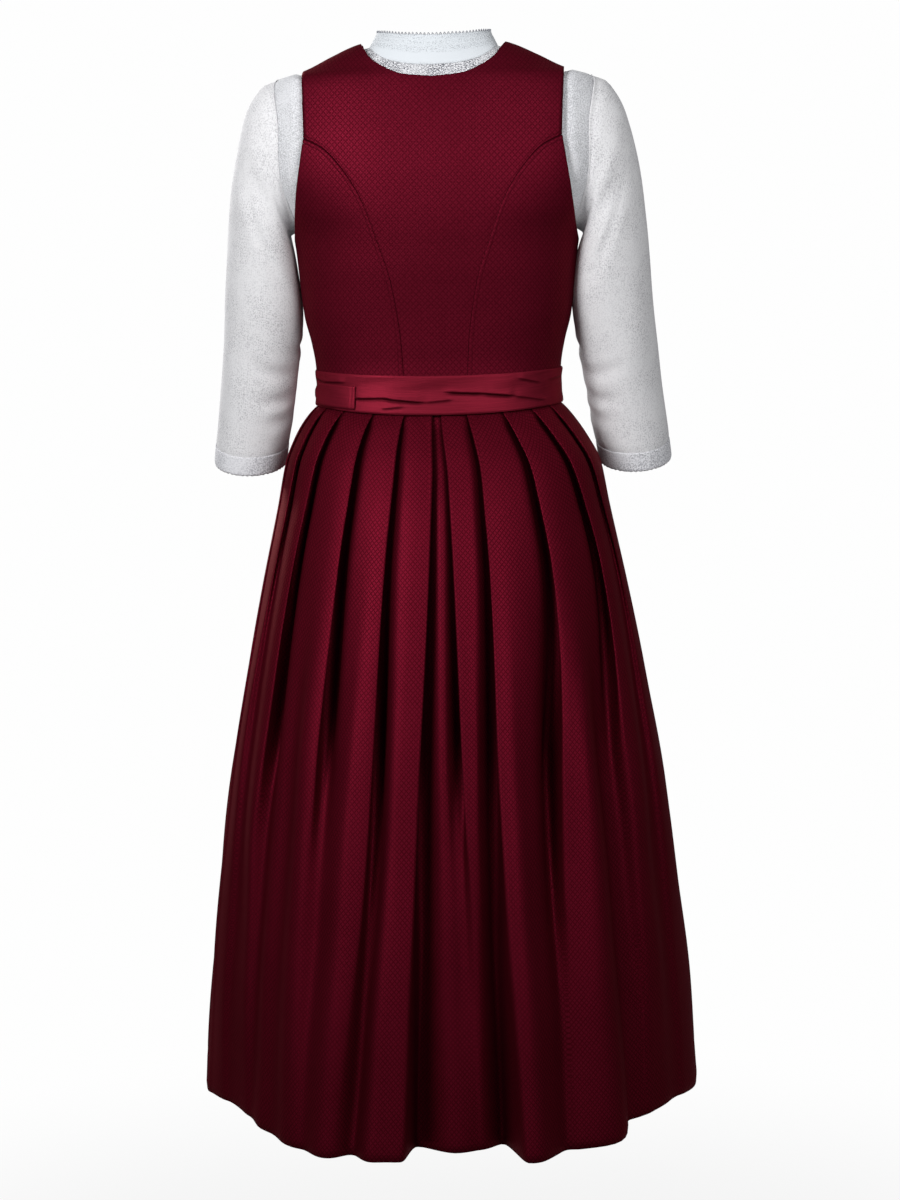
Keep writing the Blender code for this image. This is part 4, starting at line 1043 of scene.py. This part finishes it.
# The ribbon's tucks: a line along which its upper part lies over its lower part, and small creases
RIBBON_TUCKS = (
    # first angle, first share of the width, last angle, last share, height of the step
    (48, 0.66, 72, 0.58, 2),
    (66, 0.60, 88, 0.69, 2.4),
    (86, 0.69, 97, 0.62, 1.2),
    (92, 0.42, 112, 0.50, 2.4),
    (108, 0.48, 128, 0.62, 2.4),
    (124, 0.60, 150, 0.86, 1.2),
    (128, 0.16, 146, 0.36, 1.2),
    (66, 0.88, 78, 0.80, 0.8),
    (150, 0.30, 176, 0.22, 0.8),
    (8, 0.18, 26, 0.30, 1.6),
    (22, 0.30, 46, 0.24, 1.4),
    (10, 0.92, 40, 0.97, 1),
)
RIBBON_WIDTH = 40.0


def ribbon():
    shares = np.array([0, 0.01, 0.03, *np.linspace(0.05, 0.95, 46), 0.97, 0.99, 1.0])
    share, angle = np.meshgrid(shares, np.linspace(*RIBBON_ENDS, 261), indexing="ij")
    rise = np.zeros(angle.shape)
    painted_crease_shade = np.zeros(angle.shape)
    for first, first_share, last, last_share, step in RIBBON_TUCKS:
        t = (angle - first) / (last - first)
        ends = smooth_step(0.0, 0.25, t) * smooth_step(1.0, 0.75, t)
        off = (first_share + (last_share - first_share) * t - share) * RIBBON_WIDTH
        over = np.where(off > 0, np.exp(-off / 6.0), 0.0) * smooth_step(0.0, 0.9, off)
        rise += step * ends * (over - 0.45 * bell(off + 1.2, 1.5))
        # Painted shade in the fold under each tuck's step
        painted_crease_shade += 1.1 * step / 2.4 * ends * bell(off + 0.9, 1.5)
    rise += 0.35 * np.sin(share * 11.0 + angle / 23.0) * np.sin(angle / 9.0 + share * 3.0)
    rise -= 0.8 * bell(share * RIBBON_WIDTH, 1.0) + 0.8 * bell((1 - share) * RIBBON_WIDTH, 1.0)
    clearance = RIBBON_CLEARANCE + RIBBON_WALL + np.clip(rise, -1.2, 2.4)
    points = belt_form(angle, ribbon_heights(angle, share), clearance)
    lay("ribbon_cloth_band", points, cloth_uv(points), RIBBON, "apron_ribbon", painted_crease_shade)


def ribbon_end():
    """The ribbon's folded end, laid flat on the ribbon, round at its tip."""
    shares = np.array([0, 0.02, 0.05, *np.linspace(0.1, 0.9, 14), 0.95, 0.98, 1.0])
    down, turn = np.meshgrid(shares, np.linspace(0, 1, 61), indexing="ij")
    angle = RIBBON_END_SPAN[0] + (RIBBON_END_SPAN[1] - RIBBON_END_SPAN[0]) * turn
    round_tip = 1 - np.sqrt(np.clip(1 - (turn / RIBBON_TIP_LENGTH - 1) ** 2, 0, 1))
    narrow = np.where(turn < RIBBON_TIP_LENGTH, round_tip, 0.0) * RIBBON_TIP_INSET
    share = RIBBON_END_TOP + narrow + (RIBBON_END_BOTTOM - RIBBON_END_TOP - 2 * narrow) * down
    inner = np.minimum(down, 1 - down) * 25.0
    ends = np.minimum(turn, 1 - turn) * 75.0
    drop = 0.9 * bell(inner, 1.0) + 0.9 * bell(ends, 1.1)
    stitched = 0.3 * bell(inner - 3.0, 0.7) + 0.5 * bell(ends - 4.0, 0.8)
    rise = 0.35 * np.sin(turn * 9.0 + 1.0) * np.sin(down * 4.0) - drop - stitched
    level = RIBBON_CLEARANCE + RIBBON_WALL + RIBBON_END_GAP + RIBBON_WALL + RIBBON_END_LIFT
    points = belt_form(angle, ribbon_heights(angle, share), level + rise)
    lay("ribbon_cloth_tab", points, cloth_uv(points), RIBBON, "apron_ribbon_end")


def waistband():
    angles = np.linspace(RIBBON_ENDS[1] + WAISTBAND_GAP, RIBBON_ENDS[0] + 360 - WAISTBAND_GAP, 181)
    shares = np.array([0, 0.02, 0.05, *np.linspace(0.09, 0.91, 18), 0.95, 0.98, 1.0])
    share, angle = np.meshgrid(shares, angles, indexing="ij")
    height = WAISTBAND_TOP + (WAISTBAND_BOTTOM - WAISTBAND_TOP) * share
    edge = np.minimum(share, 1 - share) * (WAISTBAND_TOP - WAISTBAND_BOTTOM)
    drop = 0.9 * bell(edge, 1.0) + 0.3 * bell(edge - 2.4, 0.6)
    wave = 0.25 * np.sin(angle / 3.1 + share * 2.0) * share
    points = belt_form(angle, height, RIBBON_CLEARANCE + WAISTBAND_WALL + wave - drop)
    lay("waistband_cloth", points, cloth_uv(points), RIBBON, "apron_waistband")


def apron_row(steps, share):
    """One level row of the apron, at a share of its length."""
    height = APRON_TOP + (APRON_HEM - APRON_TOP) * share
    begin, end = (APRON_SPAN_WAIST[k] + (APRON_SPAN_HEM[k] - APRON_SPAN_WAIST[k]) * share for k in (0, 1))
    angle = begin + (end - begin) * steps
    under = belt_form(angle, np.full_like(angle, WAISTBAND_BOTTOM), RIBBON_CLEARANCE + WAISTBAND_WALL)
    x, y, _ = skirt_form(angle, height)
    covered = np.hypot(x, y)
    hang = np.clip((APRON_TOP - height) / APRON_HANG, 0, 1)
    size = APRON_RIPPLE_TOP + (APRON_RIPPLE_HEM - APRON_RIPPLE_TOP) * share
    turn = 2 * np.pi * steps
    wave = size * hang * np.sin(APRON_GATHERS * turn)
    wave += 0.9 * hang * (1 - share) ** 2 * np.sin(3.3 * APRON_GATHERS * turn + 5 * np.sin(9 * steps))
    wave += 1.2 * share * np.sin(5.3 * turn + 1.0 + 2.0 * share)
    clear = np.maximum(np.hypot(under[:, 0], under[:, 1]), covered + APRON_CLEARANCE * hang + size)
    grow = (clear + wave) / covered
    return np.stack([x * grow, y * grow, np.full_like(x, height)], axis=-1)


def apron_panel():
    steps = np.linspace(0, 1, APRON_GATHERS * APRON_STEPS_PER_GATHER + 1)
    tail = np.array(APRON_HEM_ROWS) / (APRON_TOP - APRON_HEM)
    shares = np.unique(np.concatenate([np.linspace(0, 1, 101)[:-1] ** 1.5, 1 - tail, [1.0]]))
    points = np.stack([apron_row(steps, share) for share in shares])
    _, from_hem, from_left, from_right = edge_lengths(points)
    side = np.minimum(from_left, from_right)
    fall = edge_fall(from_hem, "turned") + edge_fall(side, "turned")
    fall += 0.35 * bell(from_hem - APRON_HEM_STITCHES, 1.4)
    fall += 0.3 * bell(side - APRON_SIDE_STITCHES, 1.2)
    points = points - grid_normals(points) * fall[..., None]
    lay("apron_cloth", points, cloth_uv(points), RIBBON, "apron_panel")


# Blouse

BLOUSE_DEPTH_NECK = 6.2
BLOUSE_DEPTH_ARM = 0.8
# The bodice's half width at its armhole, by height
ARMHOLE_REACH = ((-27, 139), (-103, 139.5), (-152, 147), (-213, 155.5))
BLOUSE_DEPTH_BODY = 6.8
COLLAR_BASE = (
    # half width, back height, front height
    (0, -23, -46),
    (25, -21.5, -43),
    (48, -16, -32),
    (64, -7, -13),
    (72, 2.7, 2.7),
)
COLLAR_TOP_SIDE = 62.0
COLLAR_TOP_BACK = 54.0
COLLAR_TOP_FRONT = 52.0
COLLAR_TOP_HEIGHT_BACK = 7.0
COLLAR_TOP_HEIGHT_SIDE = 13.0
COLLAR_TOP_HEIGHT_FRONT = -12.0
COLLAR_FINE = 56
COLLAR_ROWS = 22
PICOT_PITCH = 4.3
PICOT_RADIUS = 0.8
PICOT_RISE = 2.0
PICOT_SINK = 0.4
PICOT_THREAD_RADIUS = 0.5
PICOT_SIDES = 5
BLOUSE_ROW_SHARES = (0.0, 0.02, 0.06, 0.12, 0.20, 0.30, 0.41, 0.53, 0.65, 0.77, 0.88, 1.0)
BLOUSE_CLOSURE_OFFSET = 8.4
BLOUSE_FINE_NECK = 34
BLOUSE_FINE_SHOULDER = 22
BLOUSE_ROWS = 78
RING_STEPS = 10
SLEEVE = (
    # outer x, outer z, inner x, inner z, half depth, centre y, lean
    (187, -42, 161, -206, 56, -2.5, 0.00),
    (197.5, -54, 162, -210.5, 54.5, -2.5, 0.00),
    (206, -69, 159.5, -217, 51, 0, 0.00),
    (213.5, -92, 157, -227, 49.5, 0, 0.00),
    (220, -120, 155, -239, 48.5, -1, 0.00),
    (226, -153, 153, -255, 47.5, -3, -0.03),
    (230.5, -190, 151, -275, 46.5, -7, -0.07),
    (234, -230, 151, -298, 45.5, -13, -0.12),
    (237.5, -272, 154, -325, 44.5, -21, -0.18),
    (241.5, -318, 158.5, -354, 43.5, -31, -0.24),
    (246.5, -365, 164, -386, 42.5, -41, -0.29),
    (252, -407, 168.5, -416, 42, -50, -0.32),
    (256, -437, 173.5, -439, 41.5, -56, -0.33),
)
# The ring under the hem band, as one more row
BAND_BOTTOM = (258.5, -457.0, 176.5, -459.0, 42.0, -60.0, -0.33)
BAND_SWELL = 0.3
BAND_SCALLOPS = 54
SLEEVE_FINE = 96
SLEEVE_PER_DEGREE = 270.0 / 360.0
SLEEVE_ROWS_BETWEEN = 7
# How far the creases are turned round each sleeve, in degrees, and how far that moves their ends down
CREASE_SHIFT = {"left": 0.0, "right": 9.0}
CREASE_SHARE_PER_DEGREE = 0.0006
# How far each sleeve comes nearer the body, most at one height
NEARER = {"left": 0.0, "right": 3.5}
NEARER_HEIGHT = -265.0
# Soft creases of the left sleeve, as lines between two places on it
SLEEVE_CREASES = (
    # first turn, first share of the length, last turn, last share, depth, half width in millimetres
    (96, 0.800, 168, 0.740, 1.6, 8),
    (110, 0.865, 176, 0.830, 1.2, 9),
    (84, 0.700, 160, 0.640, 1.4, 8),
    (150, 0.560, 205, 0.520, 1.6, 8),
    (60, 0.240, 120, 0.330, 1.2, 11),
    (210, 0.730, 262, 0.800, 2.4, 8),
    (205, 0.820, 250, 0.870, 1.6, 8),
    (50, 0.200, 110, 0.110, 1.8, 10),
    (40, 0.260, 100, 0.160, 1.4, 10),
    (230, 0.180, 290, 0.260, 1.4, 11),
)


def blouse_depth(angle, height):
    """How far the blouse's outer face lies inside the torso form. Past the bodice's armholes it comes out."""
    inside = eased((-60.0, -10.0), (BLOUSE_DEPTH_BODY, BLOUSE_DEPTH_NECK), height)
    across = np.abs(torso(angle, height)[..., 0])
    edge = column(ARMHOLE_REACH, 1, height)
    out = smooth_step(edge + 2.0, edge + 13.0, across) * smooth_step(-190.0, -120.0, height)
    return inside - (inside - BLOUSE_DEPTH_ARM) * out


def arm_ring(turn):
    """Angle and height on the torso form of the blouse's armhole seam. Turn 0 is its top, in degrees."""
    middle = (ARM_RING_TOP + ARM_RING_BOTTOM) / 2
    height = middle + (ARM_RING_TOP - middle) * np.cos(np.radians(turn))
    swing = np.sin(np.radians(turn))
    y = swing * np.where(swing >= 0, ARM_RING_BACK, ARM_RING_FRONT)
    depth = np.where(y >= 0, column(TORSO, 2, height), column(TORSO, 3, height))
    angle = np.degrees(np.arcsin((np.abs(y) / depth) ** (SQUARENESS / 2))) * np.sign(y)
    return np.stack([angle, height], axis=-1)


def collar_base(front, start, steps):
    """Neck seam of the blouse as half widths and heights, from near the centre to the side."""
    return from_start(np.array(COLLAR_BASE)[:, (0, 2 if front else 1)], start, steps, front)


def blouse_half(front, start):
    """Angles and heights of half a blouse body piece on the left half."""
    neck = collar_base(front, start, BLOUSE_FINE_NECK)
    ridge_x = np.linspace(neck[-1, 0], column(TORSO, 1, ARM_RING_TOP), BLOUSE_FINE_SHOULDER + 1)[1:]
    top = np.concatenate([neck, np.stack([ridge_x, ridge_height(ridge_x)], axis=1)])
    index = np.linspace(0, RING_STEPS + 1, BLOUSE_ROWS)
    turn = np.minimum(index, RING_STEPS) * 180 / RING_STEPS
    ring = arm_ring(-turn if front else turn)
    ring_x = torso(ring[:, 0], ring[:, 1])[:, 0]
    past = np.clip(index - RING_STEPS, 0, 1)
    hem_side = column(TORSO, 1, BLOUSE_HEM)
    right = np.stack([
        ring_x + (hem_side - ring_x) * past,
        ring[:, 1] + (BLOUSE_HEM - ring[:, 1]) * past,
    ], axis=1)
    spread = np.sin(np.linspace(0, np.pi / 2, len(top)))
    bottom = np.stack([start + (right[-1, 0] - start) * spread, np.full(len(top), BLOUSE_HEM)], axis=1)
    shares = np.interp(index, np.arange(RING_STEPS + 2), BLOUSE_ROW_SHARES)
    left = np.stack([np.full(len(index), start), top[0, 1] + (BLOUSE_HEM - top[0, 1]) * shares], axis=1)
    plan = coons(top, bottom, left, right)
    return np.stack([torso_angle(plan[..., 0], plan[..., 1], front), plan[..., 1]], axis=-1)


def blouse_body():
    for name, front, start in (
        ("blouse_back", False, 0.0),
        ("blouse_front_left", True, BLOUSE_CLOSURE_OFFSET),
        ("blouse_front_right", True, -BLOUSE_CLOSURE_OFFSET),
    ):
        grid = blouse_half(front, start)
        if not front:
            grid = whole(grid)
        if start < 0:
            grid = mirrored(grid)[:, ::-1]
        edges = ("plain", "turned", "plain", "plain")
        panel_on_torso(f"{name}_lace", grid, edges, YOKE_LACE, name, blouse_depth, 0.3)


def sunk_torso(angle, height):
    """The blouse's outer face."""
    return torso(angle, height) - torso_normal(angle, height) * blouse_depth(angle, height)[..., None]


def collar_grid():
    back, left, right = (
        edge_on_torso(collar_base(front, start, COLLAR_FINE), front)
        for front, start in ((False, 0.0), (True, BLOUSE_CLOSURE_OFFSET), (True, -BLOUSE_CLOSURE_OFFSET))
    )
    base = np.concatenate([left[:-1], back[::-1], mirrored(back[1:]), mirrored(right[:-1])[::-1]])
    low = sunk_torso(base[:, 0], base[:, 1]) + (0, 0, HALF_GAP)
    turn = np.unwrap(np.arctan2(low[:, 1], low[:, 0]))
    s = np.sin(turn)
    depth = np.where(s >= 0, COLLAR_TOP_BACK, COLLAR_TOP_FRONT)
    ends = np.where(s >= 0, COLLAR_TOP_HEIGHT_BACK, COLLAR_TOP_HEIGHT_FRONT)
    height = COLLAR_TOP_HEIGHT_SIDE + s ** 2 * (ends - COLLAR_TOP_HEIGHT_SIDE)
    high = np.stack([COLLAR_TOP_SIDE * np.cos(turn), depth * s, height], axis=1)
    share = np.linspace(0, 1, COLLAR_ROWS)[:, None, None]
    return high[None] * (1 - share) + low[None] * share


def collar():
    grid = collar_grid()
    from_top, from_base = edge_lengths(grid)[:2]
    wave = 0.25 * np.sin(row_lengths(grid) / 6.0) * np.exp(-from_top / 9.0)
    points = grid + grid_normals(grid) * (wave - 0.15 * bell(from_base, 2.0))[..., None]
    uv = cloth_uv(grid)
    uv[..., 1] = from_top
    lay("blouse_collar_lace", points, uv, COLLAR, "blouse_collar")
    picots(points[0])


def tube(path, radius, sides):
    """Rings of points of a thin tube along a path in millimetres."""
    run = unit(np.gradient(path, axis=0))
    helper = np.where(np.abs(run[:, 2:3]) > 0.9, (1.0, 0.0, 0.0), (0.0, 0.0, 1.0))
    side = unit(np.cross(run, helper))
    turn = np.linspace(0, 2 * math.pi, sides + 1)[:-1, None]
    up = np.cross(side, run)
    return path[:, None] + radius * (side[:, None] * np.cos(turn) + up[:, None] * np.sin(turn))


def picots(edge):
    """Small thread loops that stand along the collar's top edge."""
    length = lengths(edge)
    count = int(length[-1] / PICOT_PITCH)
    turn = np.linspace(0, math.pi, 9)
    zero = np.zeros(len(turn))
    loops, faces = [], []
    for k in range(count):
        run = (k + 0.5) * length[-1] / count - PICOT_RADIUS * np.cos(turn)
        base = np.stack([np.interp(run, length, edge[:, j]) for j in range(3)], axis=1)
        at = k * len(turn) * PICOT_SIDES
        faces.extend(tuple(at + corner for corner in face) for face in tube_faces(len(turn), PICOT_SIDES))
        path = base + np.stack([zero, zero, PICOT_RISE * np.sin(turn) - PICOT_SINK], axis=1)
        loops.append(tube(path, PICOT_THREAD_RADIUS, PICOT_SIDES))
    piece("collar_picots", mesh_of("collar_picots", loops, faces), PICOT_THREAD)


def sleeve_ring(row, turn):
    """One ring of the left sleeve. Turn 0 is the outer top, 90 the back, in degrees."""
    outer_x, outer_z, inner_x, inner_z, half_depth, centre_y, lean = row
    c, s = np.cos(np.radians(turn)), np.sin(np.radians(turn))
    x = (outer_x + inner_x) / 2 + (outer_x - inner_x) / 2 * c
    z = (outer_z + inner_z) / 2 + (outer_z - inner_z) / 2 * c
    y = half_depth * s
    return np.stack([x, centre_y + y, z + lean * y], axis=-1)


def smooth_rows(rows, per_row):
    """More rows on a smooth curve through the given ones."""
    gaps = np.linalg.norm(np.diff(rows, axis=0), axis=-1).mean(axis=1)
    slope = np.gradient(rows, np.concatenate([[0], np.cumsum(gaps)]), axis=0)
    made = []
    for k, gap in enumerate(gaps):
        steps = max(2, int(per_row * gap / gaps.mean()))
        for t in np.linspace(0, 1, steps + 1)[:-1]:
            made.append(cubic(t, gap, rows[k], slope[k], rows[k + 1], slope[k + 1]))
    return np.stack([*made, rows[-1]])


SLEEVE_TURNS = np.linspace(0, 360, SLEEVE_FINE + 1)[:-1]


def sleeve_points():
    """Outer face of the left sleeve from inside its armhole seam to behind its hem band."""
    seam = arm_ring(half_turn(SLEEVE_TURNS))
    first = sunk_torso(seam[:, 0], seam[:, 1])
    facing = torso_normal(seam[:, 0], seam[:, 1])
    away = unit(np.cross(facing, np.roll(first, -1, axis=0) - np.roll(first, 1, axis=0)))
    away *= np.sign(np.sum(away * (first.mean(axis=0) - first)))
    rings = np.stack([first + away * HALF_GAP, *(sleeve_ring(row, SLEEVE_TURNS) for row in SLEEVE)])
    inside_seam = first - away * 2.4 + facing * 0.3
    return np.concatenate([[inside_seam], smooth_rows(rings, SLEEVE_ROWS_BETWEEN)])


def creases(points, shift):
    """Normal offsets of soft creases on a closed grid."""
    length = lengths(points)
    total = length[-1].mean()
    across = np.broadcast_to(SLEEVE_TURNS, length.shape) * SLEEVE_PER_DEGREE
    down = length / length[-1:] * total
    offset = np.zeros(length.shape)
    for first, first_share, last, last_share, depth, width in SLEEVE_CREASES:
        x, y = (first + shift) * SLEEVE_PER_DEGREE, first_share * total
        run = (last + shift) * SLEEVE_PER_DEGREE - x
        rise = (last_share + shift * CREASE_SHARE_PER_DEGREE) * total - y
        held = np.clip(((across - x) * run + (down - y) * rise) / (run ** 2 + rise ** 2), 0, 1)
        gap = np.hypot(across - x - held * run, down - y - held * rise)
        fade = 1 - np.abs(2 * held - 1) ** 3 * 0.7
        offset += depth * fade * (0.45 * bell(gap - 1.7 * width, 0.9 * width) - bell(gap, width))
    return offset


def closed_uv(points):
    """Texture places of a closed grid, with one column more so that the seam column has both its values."""
    ring = np.concatenate([points, points[:, :1]], axis=1)
    u = row_lengths(ring)
    return np.stack([u / u[:, -1:] * u[:, -1:].mean(), lengths(ring)], axis=-1)


def band_points(top):
    """Outer face of the left sleeve's hem band, with a fine scalloped edge."""
    share = np.linspace(0, 1, 17)[:, None]
    band = top * (1 - share[..., None]) + sleeve_ring(BAND_BOTTOM, SLEEVE_TURNS) * share[..., None]
    edge = np.minimum(share, 1 - share) * 20.0
    fall = np.where(share < 0.5, 0.35, 1.0) * (0.7 * bell(edge, 0.9) + 0.2 * bell(edge - 3.0, 0.6))
    band = band + grid_normals(band, True) * (BAND_SWELL - fall)[..., None]
    band[..., 2] -= 1.3 * np.abs(np.sin(np.radians(SLEEVE_TURNS) * BAND_SCALLOPS / 2)) * share ** 10
    return band


def sleeves():
    top = sleeve_ring(SLEEVE[-1], SLEEVE_TURNS) - (0, 0, HALF_GAP)
    bottom = sleeve_ring(BAND_BOTTOM, SLEEVE_TURNS)
    smooth = np.concatenate([sleeve_points(), [top * (1 - s) + bottom * s for s in (0.10, 0.22)]])
    band = band_points(top)
    turn = np.radians(SLEEVE_TURNS)
    from_seam, from_hem = edge_lengths(smooth)[:2]
    fade = np.clip(np.minimum(from_seam / 20.0, from_hem / 18.0), 0, 1)
    for side, shift in CREASE_SHIFT.items():
        offset = creases(smooth, shift) * fade
        offset += 0.5 * fade * np.sin(from_seam / 23.0 + shift) * np.sin(turn * 3 + from_seam / 60.0)
        offset -= 1.0 * smooth_step(7.0, 3.0, from_hem) - 0.6 * bell(from_seam, 6.0)
        points = smooth + grid_normals(smooth, True) * offset[..., None]
        inner = smooth_step(0.0, -1.0, np.cos(turn)) * bell(points[..., 2] - NEARER_HEIGHT, 55.0)
        points[..., 0] -= NEARER[side] * inner
        for name, kind, grid, cloth, rests in (
            (f"sleeve_{side}_lace", "blouse_sleeve", points, SLEEVE_LACE, "blouse_back_lace"),
            (f"sleeve_band_{side}_lace", "sleeve_band", band, BAND_LACE, f"sleeve_{side}_lace"),
        ):
            if side == "right":
                grid = (grid * (-1, 1, 1))[:, ::-1]
            lay(name, grid, closed_uv(grid), cloth, f"{kind}_{side}", closed=True)


# Buttons

BODICE_BUTTON_HEIGHTS = (-168.0, -203.0, -238.0, -273.0, -308.0, -340.0)
BLOUSE_BUTTON_HEIGHTS = (-60.0, -86.0, -112.0, -136.0)
BUTTON_CLEARANCE = 0.8
# Profiles, as shares of the radius and how far they rise in millimetres
METAL_PROFILE = (
    (0.90, 0), (0.98, 0.2), (1, 0.6), (0.97, 1), (0.90, 1.15), (0.86, 1), (0.82, 0.95), (0.76, 1.15),
    (0.64, 1.55), (0.50, 1.9), (0.40, 1.8), (0.34, 1.75), (0.28, 2.1), (0.18, 2.444), (0.08, 2.6),
)
SHELL_PROFILE = (
    (0.90, 0), (0.98, 0.3), (1, 0.9), (0.97, 1.6), (0.90, 1.95), (0.80, 1.9), (0.68, 1.6), (0.50, 1.45),
    (0.30, 1.4), (0.10, 1.4),
)


def turned_mesh(name, place, normal, profile, radius, sides, dimples, dimple_depth):
    """A round body from a profile, with a ring of dimples round its face."""
    side = unit(np.cross(normal, (0, 0, 1.0)))
    turn = np.linspace(0, 2 * math.pi, sides + 1)[:-1, None]
    spokes = side * np.cos(turn) + np.cross(side, normal) * np.sin(turn)
    wave = dimple_depth * np.cos(dimples * turn)
    rings = []
    for share, rise in profile:
        dimpled = wave * min(share / profile[1][0], 1) * (rise > 0.3)
        rings.append(place + spokes * share * radius + normal * (rise + dimpled))
    return mesh_of(name, rings, tube_faces(len(profile), sides))


def buttons():
    for name, node, heights, form, shape, material, slot in (
        ("metal_button", "bodice_button", BODICE_BUTTON_HEIGHTS, torso, (METAL_PROFILE, 7.0, 48, 12, 0.12),
         BUTTON_METAL, "button_metal"),
        ("shell_button", "blouse_button", BLOUSE_BUTTON_HEIGHTS, sunk_torso, (SHELL_PROFILE, 5.0, 32, 0, 0.0),
         BUTTON_SHELL, "blouse_button_shell"),
    ):
        for k, height in enumerate(heights, 1):
            spot = np.array([270.0]), np.array([height])
            normal = torso_normal(*spot)[0]
            mesh = turned_mesh(f"{name}_{k}", form(*spot)[0] + normal * BUTTON_CLEARANCE, normal, *shape)
            piece(f"{name}_{k}", mesh, material, f"{node}_{k}")


# Stage, in metres

FLOOR_HEIGHT = -1.47
FLOOR_RADII = (0.6, 1.5, 3.0, 5.0, 8.0, 14.0)
FLOOR_SIDES = 64
BACKDROP = (0.99, 0.99, 0.99)
AMBIENT = 0.24
AMBIENT_COLOUR = (0.96, 0.98, 1.0)
# Distances between which the floor goes over into the backdrop, and how much of it glows before them
FLOOR_FADE = (0.35, 1.3)
FLOOR_GLOW = 0.88
LIGHTS = (
    # name, place, aim, size, power, spread in degrees
    ("key", (1.5, 2.1, 0.75), (0.04, 0.12, -0.15), 1.1, 7.4, 62.0),
    ("fill", (-1.2, 2.3, 0.65), (-0.04, 0.1, -0.15), 1.3, 4.8, 63.0),
    ("front_key", (1.5, -2.2, 0.30), (0.02, -0.12, -0.34), 1.1, 8.5, 74.0),
)


def floor():
    turn = np.linspace(0, 2 * math.pi, FLOOR_SIDES + 1)[:-1]
    rings = [[(r * x, r * y, FLOOR_HEIGHT) for x, y in zip(np.cos(turn), np.sin(turn))] for r in FLOOR_RADII]
    points = [(0.0, 0.0, FLOOR_HEIGHT), *(point for ring in rings for point in ring)]
    faces = [(0, 1 + k, 1 + (k + 1) % FLOOR_SIDES) for k in range(FLOOR_SIDES)]
    walls = grid_faces(len(rings), FLOOR_SIDES, True)
    mesh = bpy.data.meshes.new("studio_floor")
    mesh.from_pydata(points, [], faces + [tuple(corner + 1 for corner in face) for face in walls])
    n = Nodes("studio_floor_paint")
    n.give(Base_Color=n.mix(n.noise(6.0, 2.0), (0.42, 0.42, 0.42), (0.46, 0.46, 0.46)), Roughness=0.9)
    x, y = n.split(n.place())
    fade = n.ramp(n.math("SQRT", n.plus(n.times(x, x), n.times(y, y))), *FLOOR_FADE)
    glow = n.node("ShaderNodeEmission")
    n.feed(glow.inputs["Color"], BACKDROP)
    n.feed(glow.inputs["Strength"], 1.0)
    seen = n.node("ShaderNodeLightPath").outputs["Is Camera Ray"]
    share = n.plus(n.times(fade, 1 - FLOOR_GLOW), FLOOR_GLOW)
    mix_shaders(n.tree, n.times(share, seen), n.shader, glow, "Material Output")
    mesh.materials.append(n.material)
    shown("studio_floor", mesh)


def mix_shaders(tree, share, first, second, output):
    mixed = tree.nodes.new("ShaderNodeMixShader")
    for source, socket in zip((share, first.outputs[0], second.outputs[0]), mixed.inputs):
        tree.links.new(source, socket)
    tree.links.new(mixed.outputs[0], tree.nodes[output].inputs["Surface"])


def lights():
    for name, place, aim, size, power, spread in LIGHTS:
        data = bpy.data.lights.new(name, "AREA")
        data.shape = "DISK"
        data.size = size
        data.energy = power
        data.spread = math.radians(spread)
        made = shown(name, data)
        made.location = place
        made.rotation_euler = (Vector(aim) - Vector(place)).to_track_quat("-Z", "Y").to_euler()


def surroundings():
    """A white backdrop for the camera, and a soft light from all sides for the rest."""
    world = bpy.data.worlds.new("studio")
    bpy.context.scene.world = world
    world.use_nodes = True
    tree = world.node_tree
    seen, soft = tree.nodes["Background"], tree.nodes.new("ShaderNodeBackground")
    for node, colour, strength in ((seen, BACKDROP, 1.0), (soft, AMBIENT_COLOUR, AMBIENT)):
        node.inputs["Color"].default_value = (*colour, 1.0)
        node.inputs["Strength"].default_value = strength
    path = tree.nodes.new("ShaderNodeLightPath")
    mix_shaders(tree, path.outputs["Is Camera Ray"], soft, seen, "World Output")
    bpy.context.scene.view_settings.view_transform = "Standard"


CAMERA_YAW = 2.4
# The focal length, the picture's height and how far the horizon lies over its middle, in pixels
FOCAL = 3000
PICTURE_HEIGHT = 1200
HORIZON = 350
CAMERA_DROP = math.atan(HORIZON / FOCAL)
CAMERA_ROLL = -0.0145
CAMERA_PLACE = (-0.1481, 3.3267, -0.2240)
SENSOR = 36.0


def camera():
    data = bpy.data.cameras.new("view")
    data.sensor_width = SENSOR
    data.lens = SENSOR * FOCAL / PICTURE_HEIGHT
    data.dof.use_dof = False
    made = shown("view", data)
    yaw = math.radians(CAMERA_YAW)
    forward = Vector((
        math.sin(yaw) * math.cos(CAMERA_DROP), -math.cos(yaw) * math.cos(CAMERA_DROP), -math.sin(CAMERA_DROP),
    ))
    level = Vector((-math.cos(yaw), -math.sin(yaw), 0.0))
    up = level.cross(forward)
    right = level * math.cos(CAMERA_ROLL) + up * math.sin(CAMERA_ROLL)
    top = up * math.cos(CAMERA_ROLL) - level * math.sin(CAMERA_ROLL)
    turn = Matrix((right, top, -forward)).transposed()
    made.matrix_world = Matrix.Translation(CAMERA_PLACE) @ turn.to_4x4()
    bpy.context.scene.camera = made


bodice_back()
bodice_front("left", CLOSURE_OFFSET)
bodice_front("right", -CLOSURE_OFFSET)
bodice_sides()
skirt()
ribbon()
ribbon_end()
waistband()
apron_panel()
blouse_body()
collar()
sleeves()
buttons()
floor()
lights()
surroundings()
camera()
